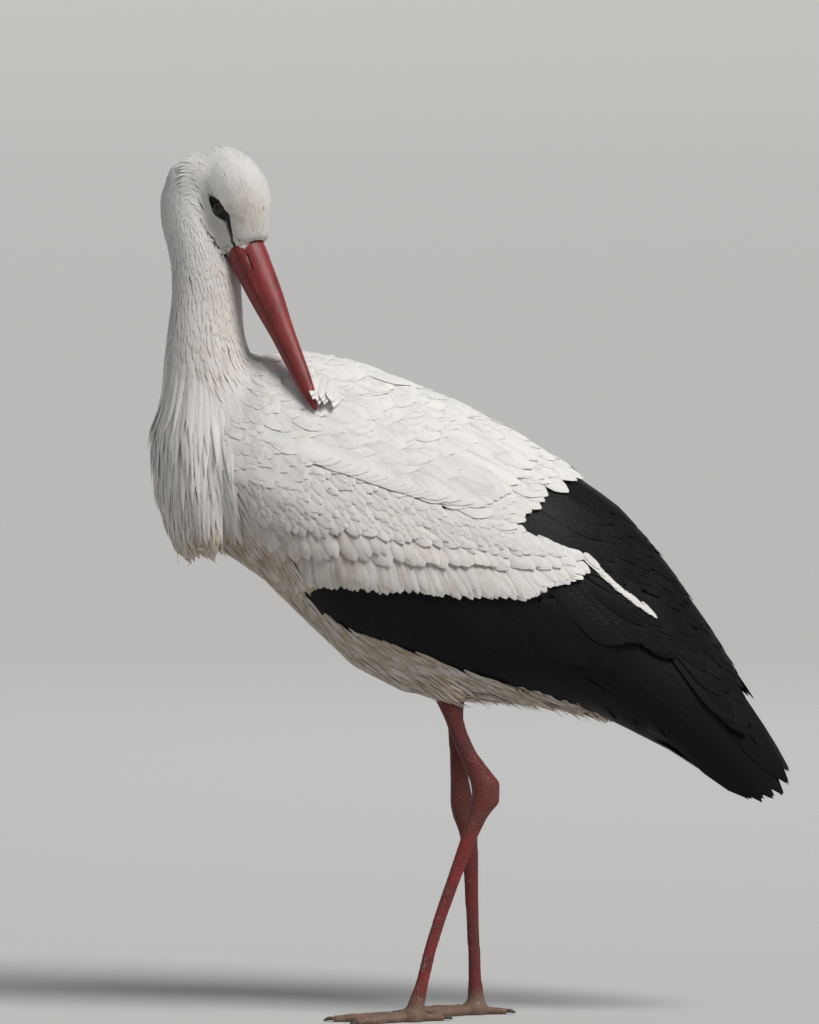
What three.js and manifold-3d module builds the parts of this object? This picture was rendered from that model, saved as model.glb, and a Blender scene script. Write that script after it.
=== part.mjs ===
// A life-size white stork (Ciconia ciconia) standing on both feet and preening its left shoulder.
// Units are millimetres. +Z is up, the bird faces -X, its left side is -Y, and the floor is Z = 0.
import * as THREE from "three";
import { mergeVertices } from "three/addons/utils/BufferGeometryUtils.js";
import Module from "manifold-3d";

const wasm = await Module();
wasm.setup();

// ---------- Driving dimensions ----------
const GAP = 0.35; // clearance between touching pieces
const BILL_LENGTH = 174; // along the culmen
const BILL_SPLIT = 0.2; // half of the slit between the mandibles
const HEAD_ROLL = THREE.MathUtils.degToRad(36); // the crown leans towards the bird's left side
const EYE_RADIUS = 8.6;
const EYE_SPREAD = 21; // from the head's middle to each eye's centre
const EYE_PLACE = { along: -36, up: 9 }; // behind the bill's base and above its middle
const LEG_SPREAD = 33; // from the body's middle to each leg
const WING_DEPTH = 17; // thickness of a folded wing over the trunk
const THIGH_BOTTOM = 300; // where feathers end and the bare shank begins
const PLUME_COUNT = 9; // hanging plumes round the foreneck
const PLUME_ARC = 1.25; // radians either side of straight ahead
const PAD = { length: 13, width: 12, height: 10, level: 5 }; // the sole's centre, half sizes and height of its middle
const CLAW_LENGTH = 9;
const SLAB_REACH = 160; // cutting slabs run this far either side of the middle
const COLOURS = {
  white: { color: 0xe9e5dd, roughness: 0.85, metalness: 0 },
  black: { color: 0x1b1c1f, roughness: 0.6, metalness: 0 },
  bill: { color: 0x9c2f2c, roughness: 0.45, metalness: 0 },
  leg: { color: 0x8a3631, roughness: 0.6, metalness: 0 },
  claw: { color: 0x3a2d28, roughness: 0.5, metalness: 0 },
  eye: { color: 0x0b0a09, roughness: 0.1, metalness: 0 },
};

const vec = (x, y, z) => new THREE.Vector3(x, y, z);
const cross = (a, b) => vec(0, 0, 0).crossVectors(a, b);
const X = vec(1, 0, 0);
const Y = vec(0, 1, 0);
const Z = vec(0, 0, 1);
const DOWN = vec(0, 0, -1);

// ---------- Solids ----------
// A closed geometry becomes a solid that can be joined and cut.
function solid(geometry) {
  const bare = geometry.clone();
  bare.deleteAttribute("normal");
  bare.deleteAttribute("uv");
  const merged = mergeVertices(bare, 1e-3);
  return new wasm.Manifold(
    new wasm.Mesh({
      numProp: 3,
      vertProperties: new Float32Array(merged.attributes.position.array),
      triVerts: new Uint32Array(merged.index.array),
    }),
  );
}

// The largest connected body of a solid: cuts can leave crumbs, which are dropped.
function mainBody(cut) {
  return cut.decompose().reduce((a, b) => (a.volume() > b.volume() ? a : b));
}

function meshOf(name, shape, colour) {
  const found = mainBody(shape).getMesh();
  const geometry = new THREE.BufferGeometry();
  geometry.setAttribute("position", new THREE.BufferAttribute(new Float32Array(found.vertProperties), 3));
  geometry.setIndex(new THREE.BufferAttribute(new Uint32Array(found.triVerts), 1));
  geometry.computeVertexNormals();
  const mesh = new THREE.Mesh(geometry, new THREE.MeshStandardMaterial(COLOURS[colour]));
  mesh.name = name;
  return mesh;
}

// A rounded body along a line of stations: [x, y, z, half width, height above, height below].
// Sections stand square to the line, or square to `facing` where that is given. `sideways` is the width's direction.
// `grow` enlarges every section and `slim` narrows its upper half. Round ends take the shares startRound, endRound.
function loft(stations, options = {}) {
  const { around = 12, along = 12, sideways = Y, facing = null, grow = 0, slim = 0 } = options;
  const { startRound = 0.12, endRound = 0.12 } = options;
  const curve = (from) => new THREE.CatmullRomCurve3(stations.map((s) => vec(...s.slice(from, from + 3))));
  const line = curve(0);
  const sizes = curve(3);
  line.curveType = "catmullrom";
  sizes.curveType = "catmullrom";
  const ball = new THREE.SphereGeometry(1, around, along);
  const place = ball.attributes.position;
  for (let i = 0; i < place.count; i++) {
    const latitude = Math.acos(THREE.MathUtils.clamp(place.getY(i), -1, 1));
    const turn = Math.atan2(place.getZ(i), place.getX(i));
    const t = THREE.MathUtils.clamp((1 - Math.cos(latitude)) * 0.35 + (latitude / Math.PI) * 0.3, 0, 1);
    const start = Math.min(1, t / startRound);
    const end = Math.min(1, (1 - t) / endRound);
    const cap = Math.sqrt(1 - (1 - start) ** 2) * Math.sqrt(1 - (1 - end) ** 2);
    const tangent = facing ?? line.getTangent(THREE.MathUtils.clamp(t, 0.001, 0.999));
    const side = sideways.clone().addScaledVector(tangent, -sideways.dot(tangent)).normalize();
    const up = cross(tangent, side);
    const size = sizes.getPoint(t);
    const s = Math.sin(turn);
    const width = (size.x + grow) * Math.cos(turn) * (1 - slim * Math.max(0, s) ** 1.5);
    const height = (s > 0 ? size.y : size.z) + grow;
    const p = line.getPoint(t).addScaledVector(side, width * cap).addScaledVector(up, height * s * cap);
    place.setXYZ(i, p.x, p.y, p.z);
  }
  return solid(ball);
}

// A flat outline in the XZ plane, as a slab that reaches as far to either side.
function slab(points, reach = SLAB_REACH) {
  const shape = new THREE.Shape(points.map(([x, z]) => new THREE.Vector2(x, z)));
  const geometry = new THREE.ExtrudeGeometry(shape, { depth: reach * 2, bevelEnabled: false });
  geometry.rotateX(Math.PI / 2); // the shape's y becomes z, and its depth runs towards -Y
  geometry.translate(0, reach, 0);
  return solid(geometry);
}

// A smooth curve through a few points, as a list of points.
function smooth(points, steps) {
  const curve = new THREE.SplineCurve(points.map(([x, z]) => new THREE.Vector2(x, z)));
  return curve.getPoints(steps).map((p) => [p.x, p.y]);
}

// Everything on one side of a plane through `at`, towards `normal`.
function keepSide(shape, at, normal) {
  const n = normal.clone().normalize();
  return shape.trimByPlane([n.x, n.y, n.z], n.dot(at));
}

const floorHalf = (shape) => keepSide(shape, vec(0, 0, 0), Z);
const union = (shapes) => shapes.reduce((a, b) => a.add(b));

// ---------- Body with its folded wings ----------
// Stations run from breast to wing tip: [x, y, z of the widest level, half width, height above it, height below it].
const BODY = [
  [-293, 0, 520, 24, 14, 14],
  [-277, 0, 524, 40, 42, 42],
  [-250, 0, 520, 59, 72, 76],
  [-215, 0, 508, 75, 108, 82],
  [-175, 0, 490, 88, 132, 98],
  [-130, 0, 466, 95, 154, 122],
  [-84, 0, 446, 97, 157, 134],
  [-40, 0, 432, 96, 155, 132],
  [10, 0, 415, 92, 150, 116],
  [60, 0, 395, 86, 140, 103],
  [108, 0, 370, 77, 133, 86],
  [155, 0, 340, 66, 119, 73],
  [195, 0, 312, 54, 93, 75],
  [232, 0, 284, 43, 63, 88],
  [266, 0, 254, 34, 38, 66],
  [298.6, 0, 232, 24, 8, 20],
];
// The trunk inside the wings: the body less the wings' depth, ending where only quills go on.
const CORE = [
  ...BODY.slice(0, 11).map(([x, y, z, w, up, down]) => [x, y, z - 2, w - WING_DEPTH, up - WING_DEPTH, down - 6]),
  [150, 0, 325, 40, 52, 46],
  [178, 0, 308, 24, 26, 28],
];

const bodyLoft = (grow) =>
  loft(BODY, { facing: X, around: 20, along: 20, slim: 0.3, startRound: 0.05, endRound: 0.05, grow });
const coreLoft = (grow) =>
  loft(CORE, { facing: X, around: 12, along: 12, slim: 0.3, startRound: 0.05, endRound: 0.1, grow });

// The folded wing's edge, seen from the side: up its front, over the back and round the tip, then forward underneath.
const WING_FRONT = smooth([[-158, 398], [-196, 432], [-206, 482], [-190, 530], [-140, 566], [-96, 640]], 7);
const WING_TOP = [[-90, 700], [330, 700], [330, 300], [301, 238]];
const WING_TIPS = [
  [297, 226], [291, 225], [290, 214], [284, 215], [282, 208], [273, 213],
  [268, 205], [256, 205], [250, 213], [246, 206], [240, 207],
];
const WING_UNDER = smooth(
  [
    [235, 209], [208, 230], [185, 257], [173, 264], [131, 277],
    [81, 298], [25, 318], [-40, 340], [-82, 356], [-122, 370], [-158, 398],
  ],
  18,
).slice(0, -1);
const WING_MIDDLE = [40, 400];
const WING_REACH = 150; // from the outline's middle to its edge, near enough for a small growth
const wingSlab = (grow) => {
  const scale = 1 + grow / WING_REACH;
  const points = [...WING_FRONT, ...WING_TOP, ...WING_TIPS, ...WING_UNDER];
  return slab(points.map(([x, z]) => [x, z].map((v, i) => WING_MIDDLE[i] + (v - WING_MIDDLE[i]) * scale)));
};

// Tail: a closed fan of white feathers under the wings' tips, lying in an open channel between them.
const TAIL = [
  [108, 0, 326, 18, 12, 10],
  [150, 0, 306, 25, 9, 8],
  [200, 0, 270, 30, 6, 6],
  [240, 0, 239, 32, 5, 5],
  [256, 0, 226, 31, 3, 3],
];
const tailLoft = (grow) => loft(TAIL, { around: 10, along: 7, startRound: 0.15, endRound: 0.12, grow });
const TAIL_CHANNEL = [[120, 300], [150, 306], [200, 270], [240, 239], [262, 221], [262, 150], [120, 150]];
const CHANNEL_REACH = 20;

const body = bodyLoft(0);
const core = coreLoft(0);
const tailGrown = tailLoft(GAP);
const wingHollow = union([core, tailGrown, slab(TAIL_CHANNEL, CHANNEL_REACH)]);
const wings = body.intersect(wingSlab(0)).subtract(wingHollow);
const trunkAndBack = body.subtract(wingSlab(GAP)).add(coreLoft(-GAP)).subtract(tailGrown);
const trunkGrown = bodyLoft(GAP).add(coreLoft(GAP));

// ---------- Neck ----------
// Stations climb from the shoulders to the back of the head; the height above is towards the bird's front.
const NECK = [
  [-186, 0, 470, 56, 50, 50],
  [-222, 0, 530, 58, 60, 60],
  [-243, 1, 587, 48, 47, 47],
  [-249, 3, 634, 37, 36, 37],
  [-248, 8, 679, 31, 31.5, 33],
  [-252, 14, 716, 31, 31, 33],
  [-261, 18, 748, 29, 30, 30],
  [-261, 17, 775, 28, 27, 28],
  [-245, 12, 786, 27, 21, 24],
  [-229, 5, 778, 22, 18, 20],
];
const neckLoft = (grow) => loft(NECK, { around: 14, along: 18, startRound: 0.04, endRound: 0.08, grow });
const NECK_CUT = vec(-250, 3, 652);
const NECK_AXIS = vec(0.02, 0.05, 1);

// ---------- Head and bill ----------
const BILL_BASE = vec(-212, -8, 720);
const BILL_TIP = vec(-145.5, -64, 571.5);
const forward = BILL_TIP.clone().sub(BILL_BASE).normalize();
const toLeft = Y.clone().negate().addScaledVector(forward, forward.y).normalize();
const toRear = cross(toLeft, forward);
const crown = toRear.clone().multiplyScalar(Math.cos(HEAD_ROLL)).addScaledVector(toLeft, Math.sin(HEAD_ROLL));
const cheek = cross(crown, forward); // towards the head's own left side
// A point in the head's own measures: along the bill, up to the crown, and out towards the left cheek.
const headPoint = (along, up, out = 0) =>
  BILL_BASE.clone().addScaledVector(forward, along).addScaledVector(crown, up).addScaledVector(cheek, out);
const headStation = ([along, up, w, above, below]) => [...headPoint(along, up).toArray(), w, above, below];

// Stations: [along, up, half width, height above, height below].
const HEAD = [
  [-97, 5, 10, 10, 10],
  [-87, 8, 19, 18, 24],
  [-71, 12, 26, 29, 38],
  [-51, 13, 28, 36.5, 44],
  [-29, 9.5, 27, 35.5, 42],
  [-12, 5, 22, 28, 31],
  [-1, 1, 18.4, 22.5, 23],
  [4, 0, 17.4, 20.4, 21],
].map(headStation);
const BILL = [
  [-14, 0, 14, 15, 16],
  [4, 0, 16.2, 18.4, 19.2],
  [30, 0, 15.4, 17.8, 18.4],
  [59, 0, 13.6, 15.8, 16],
  [90, 0, 10.5, 12.2, 12.4],
  [120, 0, 8.6, 10, 10.2],
  [146, 0, 6.8, 7.8, 7.8],
  [164, 0, 4.2, 4.6, 4.4],
  [BILL_LENGTH, -0.5, 1.8, 1.6, 1.8],
].map(headStation);
const headLoft = (grow) =>
  loft(HEAD, { around: 12, along: 11, sideways: cheek, startRound: 0.1, endRound: 0.05, grow });
const billLoft = (grow) =>
  loft(BILL, { around: 12, along: 12, sideways: cheek, startRound: 0.03, endRound: 0.03, grow });
const eyeBall = (side, grow) => {
  const ball = new THREE.SphereGeometry(EYE_RADIUS + grow, 10, 6);
  ball.translate(...headPoint(EYE_PLACE.along, EYE_PLACE.up, side * EYE_SPREAD).toArray());
  return solid(ball);
};

const bill = billLoft(0);
const billGrown = billLoft(GAP);
const eyesGrown = eyeBall(1, GAP).add(eyeBall(-1, GAP));
const head = headLoft(0).subtract(billGrown).subtract(eyesGrown);
const neck = neckLoft(0).subtract(headLoft(GAP)).subtract(billGrown).subtract(eyesGrown);
const neckGrown = neckLoft(GAP);

// ---------- Breast plumes ----------
// Long pointed plumes hang from the foreneck in an arc. Turn 0 is straight ahead.
function plume(index) {
  const turn = ((index / (PLUME_COUNT - 1)) * 2 - 1) * PLUME_ARC;
  const ahead = -Math.cos(turn);
  const out = Math.sin(turn);
  const tipLevel = 410 + 22 * Math.abs(turn / PLUME_ARC) + (index % 2 ? 10 : 0);
  const stations = [
    [-243 + 26 * ahead, 32 * out, 604, 16, 9, 9],
    [-243 + 42 * ahead, 47 * out, 560, 23, 11, 12],
    [-238 + 50 * ahead, 55 * out, 515, 23, 12, 14],
    [-233 + 46 * ahead, 56 * out, 472, 18, 10, 11],
    [-231 + 39 * ahead, 53 * out, 441, 9, 6, 6],
    [-228 + 35 * ahead, 50 * out, tipLevel, 1.4, 1.4, 1.4],
  ];
  return loft(stations, { around: 5, along: 6, sideways: vec(-out, ahead, 0), startRound: 0.1, endRound: 0.02 });
}
const plumes = union(Array.from({ length: PLUME_COUNT }, (_, i) => plume(i)));

// ---------- Legs ----------
// Each leg is one line from inside the belly to the foot: [x, z, half width, half depth behind, half depth ahead].
const LEGS = {
  left: {
    y: -LEG_SPREAD,
    stations: [
      [-36, 340, 20, 22, 22],
      [-28, 318, 15, 17, 17],
      [-23, 300, 9.5, 12, 12],
      [-18, 283, 8, 9, 9],
      [-9, 257, 7.6, 8.2, 8.2],
      [2, 236, 9.2, 9.5, 10],
      [11, 221, 11.5, 14, 14.5],
      [11, 207, 11, 13, 14.5],
      [4, 193, 8.8, 9.5, 10],
      [-7, 163, 6.4, 7.4, 7.4],
      [-24, 116, 5.6, 6.6, 6.6],
      [-38, 74, 5.4, 6.2, 6.2],
      [-48, 33, 6, 6.6, 6.6],
      [-53, 15, 8, 8.4, 8.4],
      [-54, 3, 9, 9, 9],
    ],
    ankle: [8, 200],
    heading: 6,
  },
  right: {
    y: LEG_SPREAD,
    stations: [
      [-24, 340, 20, 22, 22],
      [-20, 318, 15, 17, 17],
      [-18, 300, 9.5, 12, 12],
      [-17, 283, 8, 9, 9],
      [-15, 258, 7.6, 8, 8],
      [-13, 226, 8.6, 8.6, 9],
      [-11, 200, 11, 11, 12],
      [-8, 186, 11, 11, 12.5],
      [-4, 170, 8.8, 9, 9.5],
      [-2, 140, 6.6, 7.6, 7.6],
      [-1, 105, 5.7, 6.8, 6.8],
      [1, 66, 5.4, 6.4, 6.4],
      [2, 33, 6, 6.8, 6.8],
      [3, 15, 8, 8.4, 8.4],
      [4, 3, 9, 9, 9],
    ],
    ankle: [-7, 180],
    heading: 10,
  },
};
const SHANK_AXIS = vec(0.12, 0, 1);
// Turn is outwards from straight ahead in degrees, and length runs from the foot's centre to the claw.
const TOES = [
  { toe: "inner", turn: -30, length: 57, root: 5.4, tip: 3.6, knuckles: 2 },
  { toe: "middle", turn: -2, length: 79, root: 5.8, tip: 3.8, knuckles: 3 },
  { toe: "outer", turn: 27, length: 66, root: 5.4, tip: 3.6, knuckles: 4 },
  { toe: "hind", turn: -172, length: 30, root: 4.6, tip: 3.4, knuckles: 1 },
];
const TOE_START = 7; // toes start this far from the foot's centre, inside the pad

function toeSolid(start, direction, length, { root, tip, knuckles }) {
  const stations = [];
  const count = knuckles * 2 + 3;
  for (let i = 0; i < count; i++) {
    const share = i / (count - 1);
    const swell = i % 2 ? -0.45 : 0.35;
    const half = THREE.MathUtils.lerp(root, tip, share) + swell;
    const at = start.clone().addScaledVector(direction, length * share).setZ(half * 0.86);
    stations.push([...at.toArray(), half, half, half]);
  }
  const sideways = cross(Z, direction);
  return floorHalf(loft(stations, { around: 6, along: count, sideways, startRound: 0.05, endRound: 0.08 }));
}

function clawSolid(start, direction) {
  const at = (along, level) => start.clone().addScaledVector(direction, along).setZ(level).toArray();
  const stations = [
    [...at(-1, 3.4), 2.5, 2.4, 2.4],
    [...at(4, 3.2), 2.3, 2, 2],
    [...at(CLAW_LENGTH, 1.2), 0.9, 0.8, 0.8],
  ];
  const sideways = cross(Z, direction);
  return floorHalf(loft(stations, { around: 6, along: 4, sideways, startRound: 0.1, endRound: 0.1 }));
}

const padSolid = (centre, grow) => {
  const pad = new THREE.SphereGeometry(1, 10, 6);
  pad.scale(PAD.length + grow, PAD.width + grow, PAD.height + grow);
  pad.translate(centre.x - 2, centre.y, PAD.level);
  return floorHalf(solid(pad));
};

const stork = new THREE.Group();
const put = (name, shape, colour) => stork.add(meshOf(name, shape, colour));

for (const [name, leg] of Object.entries(LEGS)) {
  const line = leg.stations.map(([x, z, w, back, ahead]) => [x, leg.y, z, w, ahead, back]);
  const whole = loft(line, { around: 8, along: 22, startRound: 0.03, endRound: 0.02 });
  const [hip, knee, cuff] = line;
  const thighStations = [
    [hip[0], leg.y * 1.05, 372, 34, 40, 40],
    [knee[0] + 2, leg.y * 1.03, 332, 24, 29, 30],
    [cuff[0] + 1, leg.y, 306, 14, 17, 17],
    [cuff[0] + 2, leg.y, 293, 10.5, 12.5, 12.5],
  ];
  const thigh = loft(thighStations, { around: 12, along: 8, startRound: 0.2, endRound: 0.06 });
  const bare = floorHalf(keepSide(whole, vec(0, 0, THIGH_BOTTOM - GAP), DOWN));
  const ankle = vec(leg.ankle[0], leg.y, leg.ankle[1]);
  const shank = keepSide(bare, ankle, SHANK_AXIS);
  const tarsus = keepSide(bare, ankle.clone().addScaledVector(Z, -GAP), SHANK_AXIS.clone().negate());
  put(`thigh_${name}`, keepSide(thigh, vec(0, 0, THIGH_BOTTOM), Z).subtract(trunkGrown), "white");
  put(`shank_${name}`, shank.subtract(trunkGrown), "leg");

  const centre = vec(line.at(-1)[0], leg.y, 0);
  put(`tarsus_${name}`, tarsus.add(padSolid(centre, 0)), "leg");
  let taken = padSolid(centre, GAP).add(bare);
  for (const spec of TOES) {
    const turn = Math.PI + THREE.MathUtils.degToRad(spec.turn * Math.sign(-leg.y) + leg.heading);
    const direction = vec(Math.cos(turn), Math.sin(turn), 0);
    const start = centre.clone().addScaledVector(direction, TOE_START);
    const end = centre.clone().addScaledVector(direction, spec.length);
    const toe = toeSolid(start, direction, spec.length - TOE_START, spec);
    const claw = clawSolid(end.addScaledVector(direction, GAP), direction);
    const clawHole = claw.add(claw.translate(direction.clone().multiplyScalar(-GAP).toArray()));
    put(`toe_${name}_${spec.toe}`, toe.subtract(taken).subtract(clawHole), "leg");
    put(`claw_${name}_${spec.toe}`, claw, "claw");
    taken = taken.add(toe);
  }
}

// ---------- Wings, split by side and by colour ----------
// The white coverts end along this line, seen from the side: shoulder, lower edge, then up to the scapulars' tips.
const COVERT_EDGE = smooth(
  [[-172, 396], [-156, 407], [-100, 405], [-20, 399], [45, 398], [70, 408], [98, 420], [104, 427]],
  14,
);
const SCAPULAR_EDGE = smooth(
  [[104, 427], [60, 458], [22, 488], [30, 506], [46, 514], [62, 524], [80, 529], [96, 560]],
  12,
);
const whiteSlab = slab([[-300, 400], ...COVERT_EDGE, ...SCAPULAR_EDGE.slice(1), [96, 700], [-300, 700]]);
const corners = [[1, 1], [1, -1], [-1, 1], [-1, -1]];
const whiteGrown = union(corners.map(([x, z]) => whiteSlab.translate([x * GAP, 0, z * GAP])));
for (const [name, side] of [["left", -1], ["right", 1]]) {
  const half = keepSide(wings, vec(0, (side * GAP) / 2, 0), Y.clone().multiplyScalar(side));
  const clear = half.subtract(neckGrown).subtract(billGrown);
  put(`wing_${name}_coverts`, clear.intersect(whiteSlab), "white");
  put(`wing_${name}_quills`, clear.subtract(whiteGrown), "black");
}

// ---------- Trunk, tail, neck and head ----------
put("trunk", trunkAndBack.subtract(neckGrown).subtract(billGrown), "white");
put("tail", tailLoft(0).subtract(core), "white");
put("neck_lower", keepSide(neck, NECK_CUT.clone().addScaledVector(Z, -GAP), NECK_AXIS.clone().negate()), "white");
put("neck_upper", keepSide(neck, NECK_CUT, NECK_AXIS), "white");
put("breast_plumes", plumes.subtract(neckGrown).subtract(trunkGrown), "white");
put("head", head, "white");
put("bill_upper", keepSide(bill, headPoint(0, BILL_SPLIT), crown), "bill");
put("bill_lower", keepSide(bill, headPoint(0, -BILL_SPLIT), crown.clone().negate()), "bill");
put("eye_left", eyeBall(1, 0), "eye");
put("eye_right", eyeBall(-1, 0), "eye");

export default stork;
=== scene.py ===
import math
import time

import bpy
import numpy as np
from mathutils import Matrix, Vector
from mathutils.bvhtree import BVHTree


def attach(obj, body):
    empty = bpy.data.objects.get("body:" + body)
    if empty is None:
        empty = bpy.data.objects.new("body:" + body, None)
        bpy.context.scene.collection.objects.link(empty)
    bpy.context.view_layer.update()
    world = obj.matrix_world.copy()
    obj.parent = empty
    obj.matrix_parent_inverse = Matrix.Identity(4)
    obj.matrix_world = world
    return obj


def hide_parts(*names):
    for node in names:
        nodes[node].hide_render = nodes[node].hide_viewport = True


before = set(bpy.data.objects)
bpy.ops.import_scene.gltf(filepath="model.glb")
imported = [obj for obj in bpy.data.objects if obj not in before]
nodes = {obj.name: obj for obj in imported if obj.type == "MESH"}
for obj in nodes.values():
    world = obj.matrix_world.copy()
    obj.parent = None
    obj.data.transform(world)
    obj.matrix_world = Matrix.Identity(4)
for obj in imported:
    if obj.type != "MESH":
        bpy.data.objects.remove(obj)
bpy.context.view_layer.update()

mm = 0.001
started = time.time()


def say(text):
    print(f"{time.time() - started:6.1f} s  {text}")


def deselect():
    for thing in bpy.context.selected_objects:
        thing.select_set(False)


def choose(*things):
    deselect()
    for thing in things:
        thing.select_set(True)
    bpy.context.view_layer.objects.active = things[0]


def join(things, name):
    choose(*things)
    if len(things) > 1:
        bpy.ops.object.join()
    whole = bpy.context.object
    whole.name = name
    whole.data.name = name
    return whole


def addObject(name, mesh):
    thing = bpy.data.objects.new(name, mesh)
    bpy.context.scene.collection.objects.link(thing)
    return thing


def unit(vectors):
    lengths = np.linalg.norm(vectors, axis=-1, keepdims=True)
    return vectors / np.maximum(lengths, 1e-12)


def step(value, start, width):  # 0 at start, 1 a width further on
    return np.clip((value - start) / width, 0, 1)


def bell(value, middle, width):
    return np.exp(-((value - middle) / width) ** 2)


def linesAt(line, x):
    line = np.array(line, float)
    return np.interp(x, line[:, 0], line[:, 1])


# a material with its nodes, and short ways to add more
class Finish:
    def __init__(self, name):
        self.material = bpy.data.materials.new(name)
        self.material.use_nodes = True
        self.nodes = self.material.node_tree.nodes
        self.shader = self.nodes["Principled BSDF"]
        self.place = self.nodes.new("ShaderNodeTexCoord").outputs["Object"]

    def feed(self, socket, value):
        if isinstance(value, bpy.types.NodeSocket):
            self.material.node_tree.links.new(value, socket)
        else:
            socket.default_value = value

    def put(self, settings):
        for title, value in settings.items():
            self.feed(self.shader.inputs[title], value)

    def read(self, name):
        made = self.nodes.new("ShaderNodeAttribute")
        made.attribute_type = "GEOMETRY"
        made.attribute_name = name
        return made.outputs["Fac"]

    def work(self, operation, *values, hold=False):
        made = self.nodes.new("ShaderNodeMath")
        made.operation = operation
        made.use_clamp = hold
        for socket, value in zip(made.inputs, values):
            self.feed(socket, value)
        return made.outputs[0]

    def times(self, first, second):
        return self.work("MULTIPLY", first, second)

    def slope(self, value, rate, start, hold=True):
        return self.work("MULTIPLY_ADD", value, rate, start, hold=hold)

    def mix(self, share, first, second):
        made = self.nodes.new("ShaderNodeMix")
        made.data_type = "RGBA"
        made.clamp_factor = True
        for socket, value in zip((made.inputs[0], made.inputs[6], made.inputs[7]), (share, first, second)):
            self.feed(socket, value)
        return made.outputs[2]

    def noise(self, scale, detail, place=None, roughness=0.55):
        made = self.nodes.new("ShaderNodeTexNoise")
        self.feed(made.inputs["Scale"], scale)
        self.feed(made.inputs["Detail"], detail)
        self.feed(made.inputs["Roughness"], roughness)
        self.feed(made.inputs["Vector"], place or self.place)
        return made.outputs["Fac"]

    def bump(self, height, strength, distance):
        made = self.nodes.new("ShaderNodeBump")
        self.feed(made.inputs["Height"], height)
        self.feed(made.inputs["Strength"], strength)
        self.feed(made.inputs["Distance"], distance)
        self.put({"Normal": made.outputs["Normal"]})


# camera, floor and light
cameraSet = {"aim": (-0.0591, 0.0, 0.4724), "distance": 12.0, "rise": 3.5, "lens": 453.7, "sensor": 36}

rise = math.radians(cameraSet["rise"])
away = cameraSet["distance"]
aimX, aimY, aimZ = cameraSet["aim"]
deselect()
bpy.ops.object.camera_add(
    location=(aimX, aimY - away * math.cos(rise), aimZ + away * math.sin(rise)),
    rotation=(math.pi / 2 - rise, 0, 0),
)
viewCamera = bpy.context.object
viewCamera.name = "viewCamera"
viewCamera.data.lens = cameraSet["lens"]
viewCamera.data.sensor_width = cameraSet["sensor"]
viewCamera.data.clip_start = 0.5
viewCamera.data.clip_end = 300
viewCamera.data.dof.use_dof = False
bpy.context.scene.camera = viewCamera

floorSet = {
    "radius": 22.0, "rim": ((3, 0.12), (3, 0.6), (3, 1.6), (2.5, 3.0)),  # steps outwards and up
    "colour": (0.47, 0.47, 0.465, 1), "roughness": 0.95,
}

deselect()
reach = floorSet["radius"]
bpy.ops.mesh.primitive_circle_add(vertices=96, radius=reach, fill_type="NGON", location=(0, 0, 0))
studioFloor = bpy.context.object
studioFloor.name = "studioFloor"
bpy.ops.object.mode_set(mode="EDIT")
bpy.ops.mesh.select_mode(type="EDGE")
bpy.ops.mesh.select_all(action="SELECT")
for outwards, upwards in floorSet["rim"]:
    bpy.ops.mesh.extrude_edges_move(TRANSFORM_OT_translate={"value": (0, 0, upwards)})
    bpy.ops.transform.resize(value=((reach + outwards) / reach, (reach + outwards) / reach, 1))
    reach += outwards
bpy.ops.object.mode_set(mode="OBJECT")
bpy.ops.object.shade_smooth()
paper = Finish("studioPaper")
paper.put({"Base Color": floorSet["colour"], "Roughness": floorSet["roughness"]})
studioFloor.data.materials.append(paper.material)

lightSet = {
    "keyLight": {"kind": "SUN", "at": (1.9, -2.1, 3.6), "power": 3.5, "colour": (1.0, 0.975, 0.94)},
    "backLight": {"kind": "AREA", "at": (0.6, 3.4, 2.4), "power": 12, "colour": (0.92, 0.96, 1.0)},
    "sunSpread": 26.0, "areaSize": 2.5, "aim": (-0.05, 0, 0.45),
    "air": (0.80, 0.86, 0.92, 1), "airStrength": 0.24,
}
for name in ("keyLight", "backLight"):
    lamp = lightSet[name]
    deselect()
    bpy.ops.object.light_add(type=lamp["kind"], location=lamp["at"])
    made = bpy.context.object
    made.name = name
    if lamp["kind"] == "SUN":
        made.data.angle = math.radians(lightSet["sunSpread"])
    else:
        made.data.size = lightSet["areaSize"]
    made.data.energy = lamp["power"]
    made.data.color = lamp["colour"]
    made.rotation_euler = (Vector(lightSet["aim"]) - made.location).to_track_quat("-Z", "Y").to_euler()

studioAir = bpy.data.worlds.new("studioAir")
studioAir.use_nodes = True
studioAir.node_tree.nodes["Background"].inputs["Color"].default_value = lightSet["air"]
studioAir.node_tree.nodes["Background"].inputs["Strength"].default_value = lightSet["airStrength"]
bpy.context.scene.world = studioAir
bpy.context.scene.view_settings.view_transform = "Standard"
say("stage")

# measures of the head, in millimetres
billBase = np.array((-212.0, -8.0, 720.0))
billTip = np.array((-145.5, -64.0, 571.5))
forwards = unit(billTip - billBase)
crownLean = math.radians(36)
toNear = unit(np.array((0.0, -1.0, 0.0)) + forwards * forwards[1])
toRear = np.cross(toNear, forwards)
crownwards = toRear * math.cos(crownLean) + toNear * math.sin(crownLean)
farwards = np.cross(crownwards, forwards)  # towards the cheek that is turned away


def headPoint(along, up, out=0.0):
    return billBase + forwards * along + crownwards * up + farwards * out


def headMeasures(points):
    away = points - billBase
    return away @ forwards, away @ crownwards, away @ farwards


# mesh helpers, in millimetres
def readOut(items, key, width, kind=np.float32):
    flat = np.empty(len(items) * width, kind)
    items.foreach_get(key, flat)
    return flat.reshape(-1, width)


def pointsOf(mesh):
    return readOut(mesh.vertices, "co", 3).astype(np.float64) / mm


def putPoints(mesh, points):
    mesh.vertices.foreach_set("co", (points * mm).astype(np.float32).ravel())
    mesh.update()


def putValue(mesh, title, values):
    layer = mesh.attributes.new(title, "FLOAT", "POINT")
    layer.data.foreach_set("value", values.astype(np.float32))


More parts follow.
